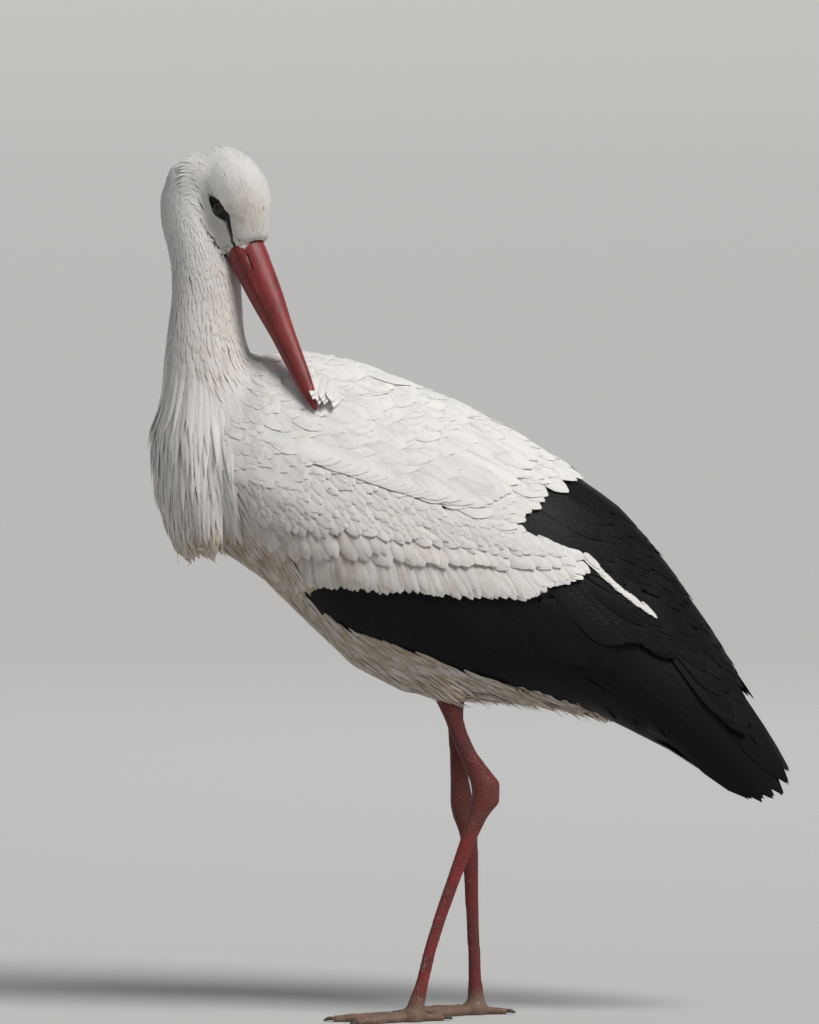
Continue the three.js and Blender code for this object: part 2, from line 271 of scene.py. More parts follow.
def putMap(mesh, title, places):
    layer = mesh.uv_layers.new(name=title)
    layer.data.foreach_set("uv", places.astype(np.float32).ravel())


def normalsOf(mesh):
    return readOut(mesh.vertex_normals, "vector", 3).astype(np.float64)


def joinCopies(names, newName):
    whole = join([addObject(f"{newName}.{name}", nodes[name].data.copy()) for name in names], newName)
    bpy.ops.object.mode_set(mode="EDIT")
    bpy.ops.mesh.select_all(action="SELECT")
    bpy.ops.mesh.remove_doubles(threshold=0.00002)
    bpy.ops.object.mode_set(mode="OBJECT")
    return whole


def applyAll(thing):
    choose(thing)
    for modifier in list(thing.modifiers):
        bpy.ops.object.modifier_apply(modifier=modifier.name)


def fuse(whole, voxel, swell):  # one closed skin from solids that nearly touch
    if swell:
        grow = whole.modifiers.new("swell", "DISPLACE")
        grow.strength = swell
        grow.mid_level = 0
    remesh = whole.modifiers.new("fuse", "REMESH")
    remesh.mode = "VOXEL"
    remesh.voxel_size = voxel
    applyAll(whole)
    bpy.ops.object.shade_smooth()


def relax(mesh, points, rounds, amount, weight=None):  # every second round pushes back, so nothing shrinks
    ends = readOut(mesh.edges, "vertices", 2, np.int32)
    if weight is not None:
        ends = ends[weight[ends].max(1) > 0]
    count = np.bincount(ends.ravel(), minlength=len(points))[:, None]
    keep = 1.0 if weight is None else weight[:, None]
    for turn in range(rounds):
        pull = amount if turn % 2 == 0 else -amount * 0.94
        total = np.zeros_like(points)
        for axis in range(3):
            total[:, axis] = np.bincount(ends[:, 0], points[ends[:, 1], axis], len(points))
            total[:, axis] += np.bincount(ends[:, 1], points[ends[:, 0], axis], len(points))
        points = points + (total / np.maximum(count, 1) - points) * pull * keep
    return points


# a mesh to find places on: the nearest one, or the one that a line across the body meets first
class Surface:
    def __init__(self, mesh, triangles=None):
        self.points = pointsOf(mesh)
        mesh.calc_loop_triangles()
        if triangles is None:
            triangles = readOut(mesh.loop_triangles, "vertices", 3, np.int32)
        self.triangles = triangles
        self.vertexNormals = normalsOf(mesh)
        self.normals = unit(self.vertexNormals[self.triangles].sum(1))
        self.tree = BVHTree.FromPolygons(self.points.tolist(), self.triangles.tolist())

    def snap(self, points):
        found = np.empty_like(points)
        index = np.empty(len(points), np.int64)
        for i, point in enumerate(points.tolist()):
            found[i], _, index[i], _ = self.tree.find_nearest(point)
        return found, index

    def smoothNormals(self, spots, index):
        a, b, c = self.points[self.triangles[index]].transpose(1, 0, 2)
        area = np.linalg.norm(np.cross(b - a, c - a), axis=1) + 1e-9
        around = self.vertexNormals[self.triangles[index]]
        total = 0
        for k, (p, q) in enumerate(((b, c), (c, a), (a, b))):
            share = np.linalg.norm(np.cross(p - spots, q - spots), axis=1) / area
            total = total + around[:, k] * share[:, None]
        return unit(total)

    def cast(self, x, z, side):
        found = np.full((len(x), 3), np.nan)
        normals = np.zeros((len(x), 3))
        for i in range(len(x)):
            start = (float(x[i]), side * 400.0, float(z[i]))
            spot, normal, _, _ = self.tree.ray_cast(start, (0.0, -side, 0.0))
            if spot is not None:
                found[i], normals[i] = spot, normal
        return found, normals


# markings and painted shade, shared by the skin and every feather
blackArea = np.array((
    (-172, 396), (-150, 405), (-100, 403), (-20, 399), (45, 397), (70, 405), (108, 418), (100, 430),
    (60, 458),
    (22, 488), (30, 506), (46, 514), (62, 524), (79, 529), (96, 560), (320, 330), (320, 180), (60, 290),
    (-82, 350),
), float)
stainsAndShade = (  # x, z, reach and strength of a warm earthy tint: partly real staining, partly painted shade behind the breast plumes, on the belly and under the tail
    (-255, 440, 42, 0.55), (-230, 415, 34, 0.75), (-190, 385, 40, 0.45), (-60, 315, 60, 0.45),
    (60, 286, 50, 1.3),
    (140, 262, 50, 1.4), (-30, 322, 55, 0.6), (-140, 360, 50, 0.45), (-212, 752, 18, 0.55),
    (-234, 690, 22, 0.25),
    (-238, 635, 32, 0.25), (-275, 500, 40, 0.3), (-150, 460, 45, 0.16), (-40, 450, 60, 0.12),
    (-120, 395, 30, 0.2),
    (-270, 600, 40, 0.12),
)


def inside(outline, x, z):
    result = np.zeros(len(x), bool)
    for (ax, az), (bx, bz) in zip(outline, np.roll(outline, -1, axis=0)):
        crosses = (az > z) != (bz > z)
        result ^= crosses & (x < (bx - ax) * (z - az) / (bz - az + 1e-12) + ax)
    return result


# real stains together with painted shade on the underside, as one earthy tint
def stainAndShadeAt(points):
    total = np.zeros(len(points))
    for x, z, spread, strength in stainsAndShade:
        distance = (points[:, 0] - x) ** 2 + (points[:, 2] - z) ** 2
        total += strength * np.exp(-distance / (2 * spread * spread))
    return np.clip(total, 0, 1)


# the outer form that feathers lie on
formSet = {"voxel": 3.2, "rounds": 70, "swell": 0.0006}

sides = ("left", "right")
fleshNodes = ["trunk", "neck_lower", "neck_upper", "head", "thigh_left", "thigh_right"]
eyeNodes = ["eye_left", "eye_right"]
wingNodes = [f"wing_{side}_{part}" for side in sides for part in ("coverts", "quills")]


def makeForm(names, title):
    form = joinCopies(names, title)
    fuse(form, formSet["voxel"] * mm, formSet["swell"])
    mesh = form.data
    putPoints(mesh, relax(mesh, pointsOf(mesh), formSet["rounds"], 0.55))
    surface = Surface(mesh)
    bpy.data.objects.remove(form)
    bpy.data.meshes.remove(mesh)
    return surface


form = makeForm(fleshNodes + eyeNodes + wingNodes, "formPlain")
plumedForm = makeForm(fleshNodes + eyeNodes + wingNodes + ["breast_plumes"], "formPlumed")
say(f"form, {len(form.triangles)} triangles")

# the skin under the feathers, with the bare legs and feet
skinSet = {
    "voxel": 1.9, "swell": 0.0005, "headDepth": 2.4, "neckDepth": 6.0, "bodyDepth": 9.0, "swellDepth": 0.5,
    "mostOfThickness": 0.3, "keepFaces": 0.5,
}

legNodes = [f"{part}_{side}" for part in ("shank", "tarsus") for side in sides]
toeNodes = [f"toe_{side}_{toe}" for side in sides for toe in ("inner", "middle", "outer", "hind")]
skinNodes = fleshNodes + legNodes + toeNodes

# a line through head and neck, from the bill back over the crown and down, with its reach at each point
headLine = ((0, 2, 19), (-12, 4, 25), (-24, 7, 31), (-36, 9, 35), (-50, 10, 36), (-64, 11, 33))
neckLine = (
    (-229, 5, 778, 20), (-245, 12, 784, 26), (-258, 17, 772, 28), (-261, 18, 748, 30), (-252, 14, 716, 31),
    (-248, 8, 679, 32), (-249, 3, 634, 36), (-243, 1, 587, 47), (-224, 0, 532, 59), (-190, 0, 480, 66),
)
flowLine = np.array([(*headPoint(along, up), radius) for along, up, radius in headLine] + list(neckLine))


def spread(line, gap=4.0):
    places, tangents = [], []
    for near, far in zip(line[:-1], line[1:]):
        reachHere = np.linalg.norm(far[:3] - near[:3])
        for t in np.arange(0, 1, gap / max(reachHere, gap)):
            places.append(near * (1 - t) + far * t)
            tangents.append((far - near)[:3] / reachHere)
    places, tangents = np.array(places), np.array(tangents)
    for _ in range(4):
        tangents[1:-1] = (tangents[:-2] + tangents[1:-1] + tangents[2:]) / 3
    return places[:, :3], unit(tangents), places[:, 3]


flowPlaces, flowTangents, flowSizes = spread(flowLine)
headCount = int(np.argmax(np.linalg.norm(flowPlaces - flowLine[len(headLine), :3], axis=1) < 3))


# the line's direction near each point, how near it is in line radii, and how far down the line
def flowOf(points, batch=20000):
    tangent = np.empty_like(points)
    nearness = np.empty(len(points))
    order = np.empty(len(points))
    for start in range(0, len(points), batch):
        part = slice(start, start + batch)
        distance = np.linalg.norm(points[part][:, None] - flowPlaces[None], axis=2) / flowSizes[None]
        best = distance.min(1, keepdims=True)
        weight = bell(distance, best, 0.1)
        tangent[part] = weight @ flowTangents
        nearness[part] = best[:, 0]
        order[part] = (weight @ np.arange(len(flowPlaces))) / weight.sum(1)
    return unit(tangent), nearness, order


def coatDepth(points):
    _, nearness, order = flowOf(points)
    neck = np.clip((1.35 - nearness) / 0.3, 0, 1)
    headShare = np.clip((headCount + 3 - order) / 6, 0, 1)
    ownDepth = skinSet["headDepth"] * headShare + skinSet["neckDepth"] * (1 - headShare)
    depth = skinSet["bodyDepth"] * (1 - neck) + neck * ownDepth
    along, _, _ = headMeasures(points)
    depth *= np.where(headShare * neck > 0.5, np.clip((8 - along) / 14, 0.15, 1), 1)
    bare = (points[:, 2] < 310) & (points[:, 0] < 45)
    return depth * np.where(bare, step(points[:, 2], 298, 12), 1)


# how far it is through the body from each vertex, straight inwards
def thicknessOf(mesh, most=60.0, start=0.6):
    body = Surface(mesh)
    far = np.full(len(body.points), most)
    for i, (point, normal) in enumerate(zip(body.points, body.vertexNormals)):
        distance = body.tree.ray_cast(Vector(point - normal * start), Vector(-normal), most)[3]
        if distance is not None:
            far[i] = distance + start
    return far


skin = joinCopies(skinNodes + eyeNodes, "stork_skin")
fuse(skin, skinSet["voxel"] * mm, skinSet["swell"])
skinPoints = pointsOf(skin.data)
skinPoints = relax(skin.data, skinPoints, 60, 0.55, np.where(skinPoints[:, 2] < 24, 0.3, 1.0))
bareLeg = (skinPoints[:, 2] < 300) & (skinPoints[:, 2] > 30) & (skinPoints[:, 0] < 60)
skinPoints = relax(skin.data, skinPoints, 120, 0.55, bareLeg.astype(float))
putPoints(skin.data, skinPoints)
depth = coatDepth(skinPoints) + skinSet["swellDepth"]
depth = np.minimum(depth, thicknessOf(skin.data) * skinSet["mostOfThickness"])  # thin edges sink less
flatDepth = relax(skin.data, np.repeat(depth[:, None], 3, 1), 12, 0.5)[:, :1]
hidden = step(depth, 5, 3)
skinPoints = relax(skin.data, skinPoints - normalsOf(skin.data) * flatDepth, 40, 0.5, hidden)
putPoints(skin.data, skinPoints)
say(f"skin, {len(skin.data.polygons)} faces")

hiddenGroup = skin.vertex_groups.new(name="hidden")
for level in range(1, 5):
    hiddenGroup.add(np.nonzero(np.round(hidden * 4) == level)[0].tolist(), level / 4, "REPLACE")
thin = skin.modifiers.new("thin", "DECIMATE")
thin.ratio = skinSet["keepFaces"]
thin.vertex_group = "hidden"
applyAll(skin)
skin.vertex_groups.clear()
say(f"skin thinned to {len(skin.data.polygons)} faces")

# lids and bare skin round the eyes
eyeSet = {
    "along": -36.0, "up": 9.0, "out": 20.2, "radius": 8.2,
    "slit": (7.6, 4.7), "rim": (14.2, 6.2), "slant": 14.8,
}


# how far from the eye's middle a place is, as a share of an ellipse, and how far out of the head
def eyeRing(points, side, ellipse, wider=0.0):
    along, up, out = headMeasures(points)
    turn = math.radians(eyeSet["slant"])
    a, b = along - eyeSet["along"], up - eyeSet["up"]
    lengthwise = a * math.cos(turn) + b * math.sin(turn)
    across = b * math.cos(turn) - a * math.sin(turn)
    wide, tall = eyeSet[ellipse]
    return np.sqrt((lengthwise / (wide + wider)) ** 2 + (across / (tall + wider)) ** 2), out * side


# how deep inside the dark streak between eye and bill a place lies
def faceStreak(along, up):
    middle = 2.5 - along * 0.46
    halfWide = 1.5 + np.clip(-along, 0, 24) / 24 * 1.6
    return np.where((along > -26) & (along < 3), halfWide - np.abs(up - middle), -9.0)


def isHead(points):
    _, nearness, order = flowOf(points)
    return (order < headCount + 2) & (nearness < 1.5)


for side in (-1, 1):  # finer faces where the lids are
    centre = headPoint(eyeSet["along"], eyeSet["up"], side * eyeSet["out"])
    for reach in (19, 16):
        choose(skin)
        near = np.linalg.norm(pointsOf(skin.data) - centre, axis=1) < reach
        bpy.ops.object.mode_set(mode="EDIT")
        bpy.ops.mesh.select_mode(type="VERT")
        bpy.ops.mesh.select_all(action="DESELECT")
        bpy.ops.object.mode_set(mode="OBJECT")
        skin.data.vertices.foreach_set("select", near)
        bpy.ops.object.mode_set(mode="EDIT")
        bpy.ops.mesh.select_mode(type="VERT")
        bpy.ops.mesh.subdivide(number_cuts=1, smoothness=0)
        bpy.ops.object.mode_set(mode="OBJECT")

skinPoints = pointsOf(skin.data)
onHead = isHead(skinPoints)
for side in (-1, 1):
    ring, outwards = eyeRing(skinPoints, side, "slit")
    close = onHead & (outwards > 5) & (ring < 3.2)
    lid = 1.5 * bell(ring, 1.08, 0.2) + 0.5 * bell(ring, 1.75, 0.22)
    sunk = -4.6 * np.clip((1.0 - ring) / 0.28, 0, 1)
    skinPoints += np.where(close, lid + sunk, 0)[:, None] * side * farwards[None]
putPoints(skin.data, skinPoints)

# unwrap of the skin, which every feather's bake patch is taken from
choose(skin)
bpy.ops.object.mode_set(mode="EDIT")
bpy.ops.mesh.select_all(action="SELECT")
skin.data.uv_layers.new(name="OFBake")
bpy.ops.uv.smart_project(angle_limit=math.radians(66), island_margin=0.001)
bpy.ops.object.mode_set(mode="OBJECT")
skinSurface = Surface(skin.data)
skinCornerUv = readOut(skin.data.uv_layers["OFBake"].data, "uv", 2)[
    readOut(skin.data.loop_triangles, "loops", 3, np.int32)].mean(1)
say("skin unwrapped")

# feathers
profiles = {  # share of the length, share of the half width
    "scale": ((0, 0.3), (0.3, 0.8), (0.6, 1.0), (0.8, 0.92), (0.93, 0.62), (1, 0.2)),
    "lance": ((0, 0.35), (0.25, 0.8), (0.5, 1.0), (0.72, 0.8), (0.9, 0.42), (1, 0.06)),
    "plume": ((0, 0.4), (0.2, 0.75), (0.45, 1.0), (0.68, 0.86), (0.85, 0.5), (0.95, 0.22), (1, 0.04)),
    "quill": ((0, 0.4), (0.1, 0.75), (0.3, 0.95), (0.7, 1.0), (0.84, 0.94), (0.94, 0.66), (1, 0.16)),
    "fringe": ((0, 0.4), (0.3, 0.9), (0.7, 1.0), (0.86, 0.9), (0.95, 0.62), (1, 0.2)),
}
plainLook = {
    "across": 3, "steps": 5, "ease": 0.8, "camber": 0.16, "thick": 0.35, "bow": 0.55, "ragged": 0.3,
    "soft": 0.45,
    "curl": 0.3, "grip": 0.4, "lean": 0.0, "arc": 0.0, "level": 0.0, "lift": 0.0, "tilt": 0.0,
}


def square(way, normal):  # the way laid flat on the surface
    return unit(way - normal * (way * normal).sum(-1, keepdims=True))


# lines of points that run over the surface from each root, with their normals and directions
def walk(surface, roots, ways, look, bend):
    steps = look["steps"]
    at, index = surface.snap(roots)
    normal = surface.smoothNormals(at, index)
    way = square(ways, normal)
    places, normals, headings = [at], [normal], [way]
    pace = look["lengths"][:, None] / steps
    for _ in range(steps):
        aimed = at + way * pace
        spots, index = surface.snap(aimed)
        fresh = surface.smoothNormals(spots, index)
        shift = spots - aimed
        size = np.linalg.norm(shift, axis=1, keepdims=True)
        most = pace * look["grip"]
        moved = aimed + shift * np.minimum(size, most) / np.maximum(size, 1e-9)
        normal = np.where(size > most, unit(normal * 0.8 + fresh * 0.2), unit(normal * 0.3 + fresh * 0.7))
        way = unit(moved - at)
        if bend is not None:
            way = unit(way + bend(moved) * 0.25)
        way = square(way, normal)
        at = moved
        places.append(at)
        normals.append(normal)
        headings.append(way)
    return np.stack(places, 1), np.stack(normals, 1), np.stack(headings, 1)


# evenly spread stations, read again at the given shares of each line
def stationsAt(values, shares):
    last = values.shape[1] - 1
    spots = shares * last
    low = np.clip(np.floor(spots).astype(int), 0, last - 1)
    t = (spots - low)[None, :, None]
    return values[:, low] * (1 - t) + values[:, low + 1] * t


# faces of one closed vane: a grid above, and below it a grid that shares the rim
def vaneFaces(stations, across):
    perTop = stations * across

    def above(s, k):
        return s * across + k

    def below(s, k):
        if s in (0, stations - 1) or k in (0, across - 1):
            return above(s, k)
        return perTop + (s - 1) * (across - 2) + (k - 1)

    faces = []
    for s in range(stations - 1):
        for k in range(across - 1):
            faces.append((above(s, k), above(s + 1, k), above(s + 1, k + 1), above(s, k + 1)))
            faces.append((below(s, k), below(s, k + 1), below(s + 1, k + 1), below(s + 1, k)))
    return np.array(faces)


# one mesh of closed thin vanes, with a vane map, a bake map and each vane's tint and its stain with painted
# shade
def vaneMesh(name, line, normal, heading, look, rng, roots):
    look = {**plainLook, **look}
    shares, widths = np.array(look["profile"]).T
    count, stations, across = len(line), len(shares), look["across"]
    line, normal, heading = (stationsAt(part, shares) for part in (line, normal, heading))
    normal, heading = unit(normal), unit(heading)
    sideways = np.cross(normal, heading)
    ranks = np.linspace(-1, 1, across)
    half = look["widths"][:, None] * widths[None] / 2
    lengths, rootDrop, tipRise = look["lengths"], look["rootDrop"], look["tipRise"]
    tilt = np.broadcast_to(look["tilt"], count)
    ease = shares[None] ** look["ease"]
    height = -rootDrop[:, None] * (1 - ease) + tipRise[:, None] * ease
    height = height + np.broadcast_to(look["lift"], count)[:, None] * shares[None] ** 3

    # the upper face, cambered and tilted, with its edges swept back
    rows = line[:, :, None] + sideways[:, :, None] * half[:, :, None, None] * ranks[None, None, :, None]
    outwards = np.repeat(normal[:, :, None], across, axis=2)
    if "cling" in look:  # wide feathers bend round the body
        spots, index = look["cling"].snap(rows.reshape(-1, 3))
        fresh = look["cling"].smoothNormals(spots, index).reshape(rows.shape)
        shift = spots.reshape(rows.shape) - rows
        hold = np.clip((9 - np.linalg.norm(shift, axis=-1, keepdims=True)) / 4, 0, 1)
        rows = rows + shift * hold
        outwards = unit(outwards * (1 - hold) + fresh * hold)
    sink = height[:, :, None] - look["camber"] * half[:, :, None] * ranks ** 2 * 2
    sink = sink + tilt[:, None, None] * half[:, :, None] * ranks
    top = rows + outwards * sink[..., None]
    bow = look["bow"] * shares[None, :, None] ** 2 * ranks ** 2 * half[:, :, None]
    bow[:, -1] += (rng.random((count, across)) - 0.5) * look["ragged"] * (lengths * (1 - shares[-2]))[:, None]
    top -= heading[:, :, None] * bow[..., None]
    inner = ranks[1:-1]
    under = top[:, 1:-1, 1:-1] - outwards[:, 1:-1, 1:-1] * (look["thick"] * (1 - inner ** 2))[:, None]
    points = np.concatenate([top.reshape(count, -1, 3), under.reshape(count, -1, 3)], 1)
    perTop, per = stations * across, points.shape[1]
    vaneU = np.concatenate([np.tile((ranks + 1) / 2, stations), np.tile((inner + 1) / 2, stations - 2)])
    vaneV = np.concatenate([np.repeat(shares, across), np.repeat(shares[1:-1], across - 2)])

    faces = vaneFaces(stations, across)
    everyFace = (faces[None] + (np.arange(count) * per)[:, None, None]).reshape(-1, 4).astype(np.int32)
    mesh = bpy.data.meshes.new(name)
    mesh.vertices.add(count * per)
    putPoints(mesh, points.reshape(-1, 3))
    mesh.loops.add(everyFace.size)
    mesh.loops.foreach_set("vertex_index", everyFace.ravel())
    mesh.polygons.add(len(everyFace))
    mesh.polygons.foreach_set("loop_start", np.arange(0, everyFace.size, 4, dtype=np.int32))
    mesh.polygons.foreach_set("use_smooth", np.ones(len(everyFace), bool))
    mesh.update(calc_edges=True)

    # the rim is sharp
    ends = readOut(mesh.edges, "vertices", 2, np.int32) % per
    station, rank = np.divmod(ends, across)
    onEdge = (rank[:, 0] == rank[:, 1]) & np.isin(rank[:, 0], (0, across - 1))
    onEnd = (station[:, 0] == station[:, 1]) & np.isin(station[:, 0], (0, stations - 1))
    crease = mesh.attributes.new("sharp_edge", "BOOLEAN", "EDGE")
    crease.data.foreach_set("value", (ends < perTop).all(1) & (onEdge | onEnd))

    owner, corner = np.divmod(everyFace.ravel(), per)
    vane = np.stack([vaneU[corner], vaneV[corner]], 1)
    putMap(mesh, "vane", vane)
    skinMap = skinCornerUv[skinSurface.snap(roots)[1]]
    putMap(mesh, "OFBake", np.clip(skinMap[owner] + 0.003 * (vane - 0.5), 0, 1))
    for title in ("tint", "stain"):
        putValue(mesh, title, np.repeat(look[title], per))
    mesh.validate()

    # softened normals above, and zero, which keeps the plain normal, underneath
    slope = (rootDrop + tipRise) / lengths
    own = sideways[:, :, None] * (4 * look["camber"] * ranks[:, None] - tilt[:, None, None, None])
    own = own - heading[:, :, None] * slope[:, None, None, None]
    own = own + heading[:, :, None] * (look["curl"] * shares[:, None, None] ** 5)
    topNormals = unit(outwards + own * look["soft"]).reshape(count, -1, 3)
    upper = np.concatenate([topNormals, topNormals[:, :per - perTop]], 1)
    isUpper = np.tile(np.repeat(np.arange(len(faces)) % 2 == 0, 4), count)
    mesh.normals_split_custom_set(np.where(isUpper[:, None], upper[owner, corner], 0.0).astype(np.float32))
    return addObject(name, mesh)


# every feather its own size, height, lift and lean
def varied(look, count, rng, spread):
    look = {**plainLook, "stray": spread["stray"], "wobble": spread["wobble"], **look}
    look["profile"] = profiles[look["shape"]]
    for key in ("lengths", "widths", "rootDrop", "tipRise"):
        low, high = 1 - spread[key], 1 + spread[key]
        look[key] = np.asarray(look[key], float) * rng.uniform(low, high, count)
    look["lift"] = np.abs(rng.normal(0, look["stray"], count))
    look["tilt"] = look["lean"] + rng.normal(0, look["wobble"], count)
    look["tint"] = rng.normal(0, 1, count)
    look["stainShare"] = rng.uniform(0.5, 1.4, count)
    return look


coatPieces = []


def finishCoat(piece, dark=False):
    coatPieces.append(piece)
    piece.data.materials.append(blackPlumage if dark else whitePlumage)
    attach(piece, "root")
    say(f"{piece.name}: {len(piece.data.polygons) * 2} triangles")


coatSpread = {"lengths": 0.15, "widths": 0.12, "rootDrop": 0.2, "tipRise": 0.2, "stray": 0.4, "wobble": 0.05}


# lays one tract of feathers on the surface, from their roots
def layFeathers(name, surface, roots, ways, look, seed, dark=False, bend=None):
    rng = np.random.default_rng(seed)
    look = varied(look, len(roots), rng, coatSpread)
    line, normal, heading = walk(surface, roots, ways, look, bend)
    look["stain"] = np.clip(stainAndShadeAt(line[:, 2]) * look["stainShare"], 0, 1)
    piece = vaneMesh(name, line, normal, heading, look, rng, roots)
    say(f"{name}: {len(roots)} feathers")
    finishCoat(piece, dark)
    return piece


# evenly spread roots on the surface where wanted, at a spacing that may change from place to place
def scatter(surface, spacing, wanted, seed):
    rng = np.random.default_rng(seed)
    corners = surface.points[surface.triangles]
    centres = corners.mean(1)
    area = np.linalg.norm(np.cross(corners[:, 1] - corners[:, 0], corners[:, 2] - corners[:, 0]), axis=1) / 2
    local = spacing(centres) if callable(spacing) else np.full(len(centres), spacing)
    density = np.where(wanted(centres, surface.normals), area / (local * local) * 3.2, 0)
    count = int(density.sum())
    pick = rng.choice(len(centres), count, p=density / density.sum())
    a, b = rng.random(count), rng.random(count)
    fold = a + b > 1
    a, b = np.where(fold, 1 - a, a), np.where(fold, 1 - b, b)
    three = corners[pick]
    spots = three[:, 0] + (three[:, 1] - three[:, 0]) * a[:, None] + (three[:, 2] - three[:, 0]) * b[:, None]
    gaps = local[pick] * 0.82
    keys = np.floor(spots / gaps.max()).astype(int)
    around = [(dx, dy, dz) for dx in (-1, 0, 1) for dy in (-1, 0, 1) for dz in (-1, 0, 1)]
    grid, chosen = {}, []
    for i, ((x, y, z), spot, gap) in enumerate(zip(keys.tolist(), spots.tolist(), gaps.tolist())):
        near = (other for dx, dy, dz in around for other in grid.get((x + dx, y + dy, z + dz), ()))
        if all(math.dist(spot, other) >= gap for other in near):
            grid.setdefault((x, y, z), []).append(spot)
            chosen.append(i)
    return spots[chosen], surface.normals[pick[chosen]]


# the lie of the feathers: places in the side view, and the way a feather points there
lieGuides = np.array((
    (-285, 560, 0.06, -1), (-275, 480, 0.10, -1), (-262, 430, 0.42, -0.9), (-225, 400, 0.68, -0.74),
    (-215, 560, 0.50, -0.86), (-225, 500, 0.35, -0.94), (-180, 450, 0.62, -0.78), (-180, 520, 0.75, -0.66),
    (-190, 615, 0.86, -0.5), (-160, 600, 0.95, -0.3), (-150, 560, 0.93, -0.36), (-100, 600, 0.97, -0.24),
    (-100, 550, 0.95, -0.3), (-40, 580, 0.93, -0.36), (-40, 530, 0.94, -0.34), (20, 550, 0.88, -0.47),
    (20, 500, 0.88, -0.47), (80, 510, 0.8, -0.6), (80, 460, 0.78, -0.62), (140, 440, 0.7, -0.71),
    (190, 370, 0.62, -0.78), (240, 290, 0.58, -0.81), (285, 230, 0.6, -0.8), (200, 300, 0.68, -0.73),
    (-120, 490, 0.88, -0.46), (-60, 470, 0.9, -0.42), (0, 450, 0.9, -0.44), (-190, 370, 0.72, -0.7),
    (-165, 385, 0.72, -0.7), (-150, 350, 0.78, -0.62), (-110, 355, 0.87, -0.5), (-100, 330, 0.88, -0.46),
    (-50, 335, 0.88, -0.46), (-50, 305, 0.93, -0.36), (20, 312, 0.88, -0.46), (20, 295, 0.92, -0.4),
    (80, 292, 0.88, -0.46), (140, 262, 0.9, -0.44), (-30, 320, 0.7, -0.7), (-20, 302, 0.35, -0.93),
), float)
lieReach = 34.0


def bodyLie(points):
    gaps = ((points[:, None, ::2] - lieGuides[None, :, :2]) ** 2).sum(2)
    weight = np.exp(-(gaps - gaps.min(1, keepdims=True)) / (2 * lieReach ** 2))
    flat = weight @ lieGuides[:, 2:]
    return unit(np.stack([flat[:, 0], np.zeros(len(points)), flat[:, 1]], 1))


# the way feathers point at each place: along the head and neck, then over the body
def lie(points):
    flow, nearness, order = flowOf(points)
    onNeck = np.clip((1.5 - nearness) / 0.35, 0, 1)
    onNeck *= step(points[:, 2], 500, 70) * step(-points[:, 0], 150, 50)
    along, up, out = headMeasures(points)
    front = step(along, -9, 9) * (order < headCount) * 1.2
    outwards = unit(crownwards * (up - 4)[:, None] + farwards * out[:, None])
    flow = unit(flow + outwards * front[:, None])
    return unit(flow * onNeck[:, None] + bodyLie(points) * (1 - onNeck[:, None]))


flapLine = (
    (-176, 545), (-161, 530), (-136, 530), (-97, 517), (-61, 503), (-33, 497), (2, 479), (21, 468),
    (53, 440),
)
whiteEdge = np.array(((12, 481), (18, 491), (41, 512), (56, 520), (73, 521), (80, 530), (92, 560)), float)
neckBase = ((-330, 560), (-270, 575), (-215, 610), (-180, 640))
wingOutline = np.array((
    (-158, 398), (-178, 432), (-186, 482), (-182, 530), (-176, 545), (-136, 531), (-97, 517), (-61, 503),
    (-33, 497),
    (2, 479), (21, 468), (86, 434), (330, 330), (330, 190), (235, 200), (208, 230), (185, 257), (131, 277),
    (81, 298), (25, 318), (-40, 340), (-82, 356), (-122, 370),
), float)


def behindWhite(points):
    return points[:, 0] > np.interp(points[:, 2], whiteEdge[:, 1], whiteEdge[:, 0])


def aboveNeckBase(points):
    return (points[:, 2] > linesAt(neckBase, points[:, 0])) & (points[:, 0] < -175)


def underWing(points):
    return inside(wingOutline, points[:, 0], points[:, 2]) & (np.abs(points[:, 1]) > 12)


# plumage: shaft and barbs from the vane's own map, clouds, and stains with painted shade, from its place and
# values
plumageSet = {
    "white": (0.80, 0.775, 0.735, 1), "cool": (0.70, 0.70, 0.71, 1), "earth": (0.40, 0.29, 0.19, 1),
    "shaft": (0.93, 0.9, 0.84, 1), "root": (0.52, 0.49, 0.45, 1), "dust": (0.62, 0.6, 0.57, 1),
    "black": (0.0042, 0.0042, 0.0046, 1), "rust": (0.016, 0.010, 0.008, 1),
    "slate": (0.0085, 0.0088, 0.010, 1),
    "blackShaft": (0.004, 0.004, 0.004, 1), "barbs": 90.0,
}


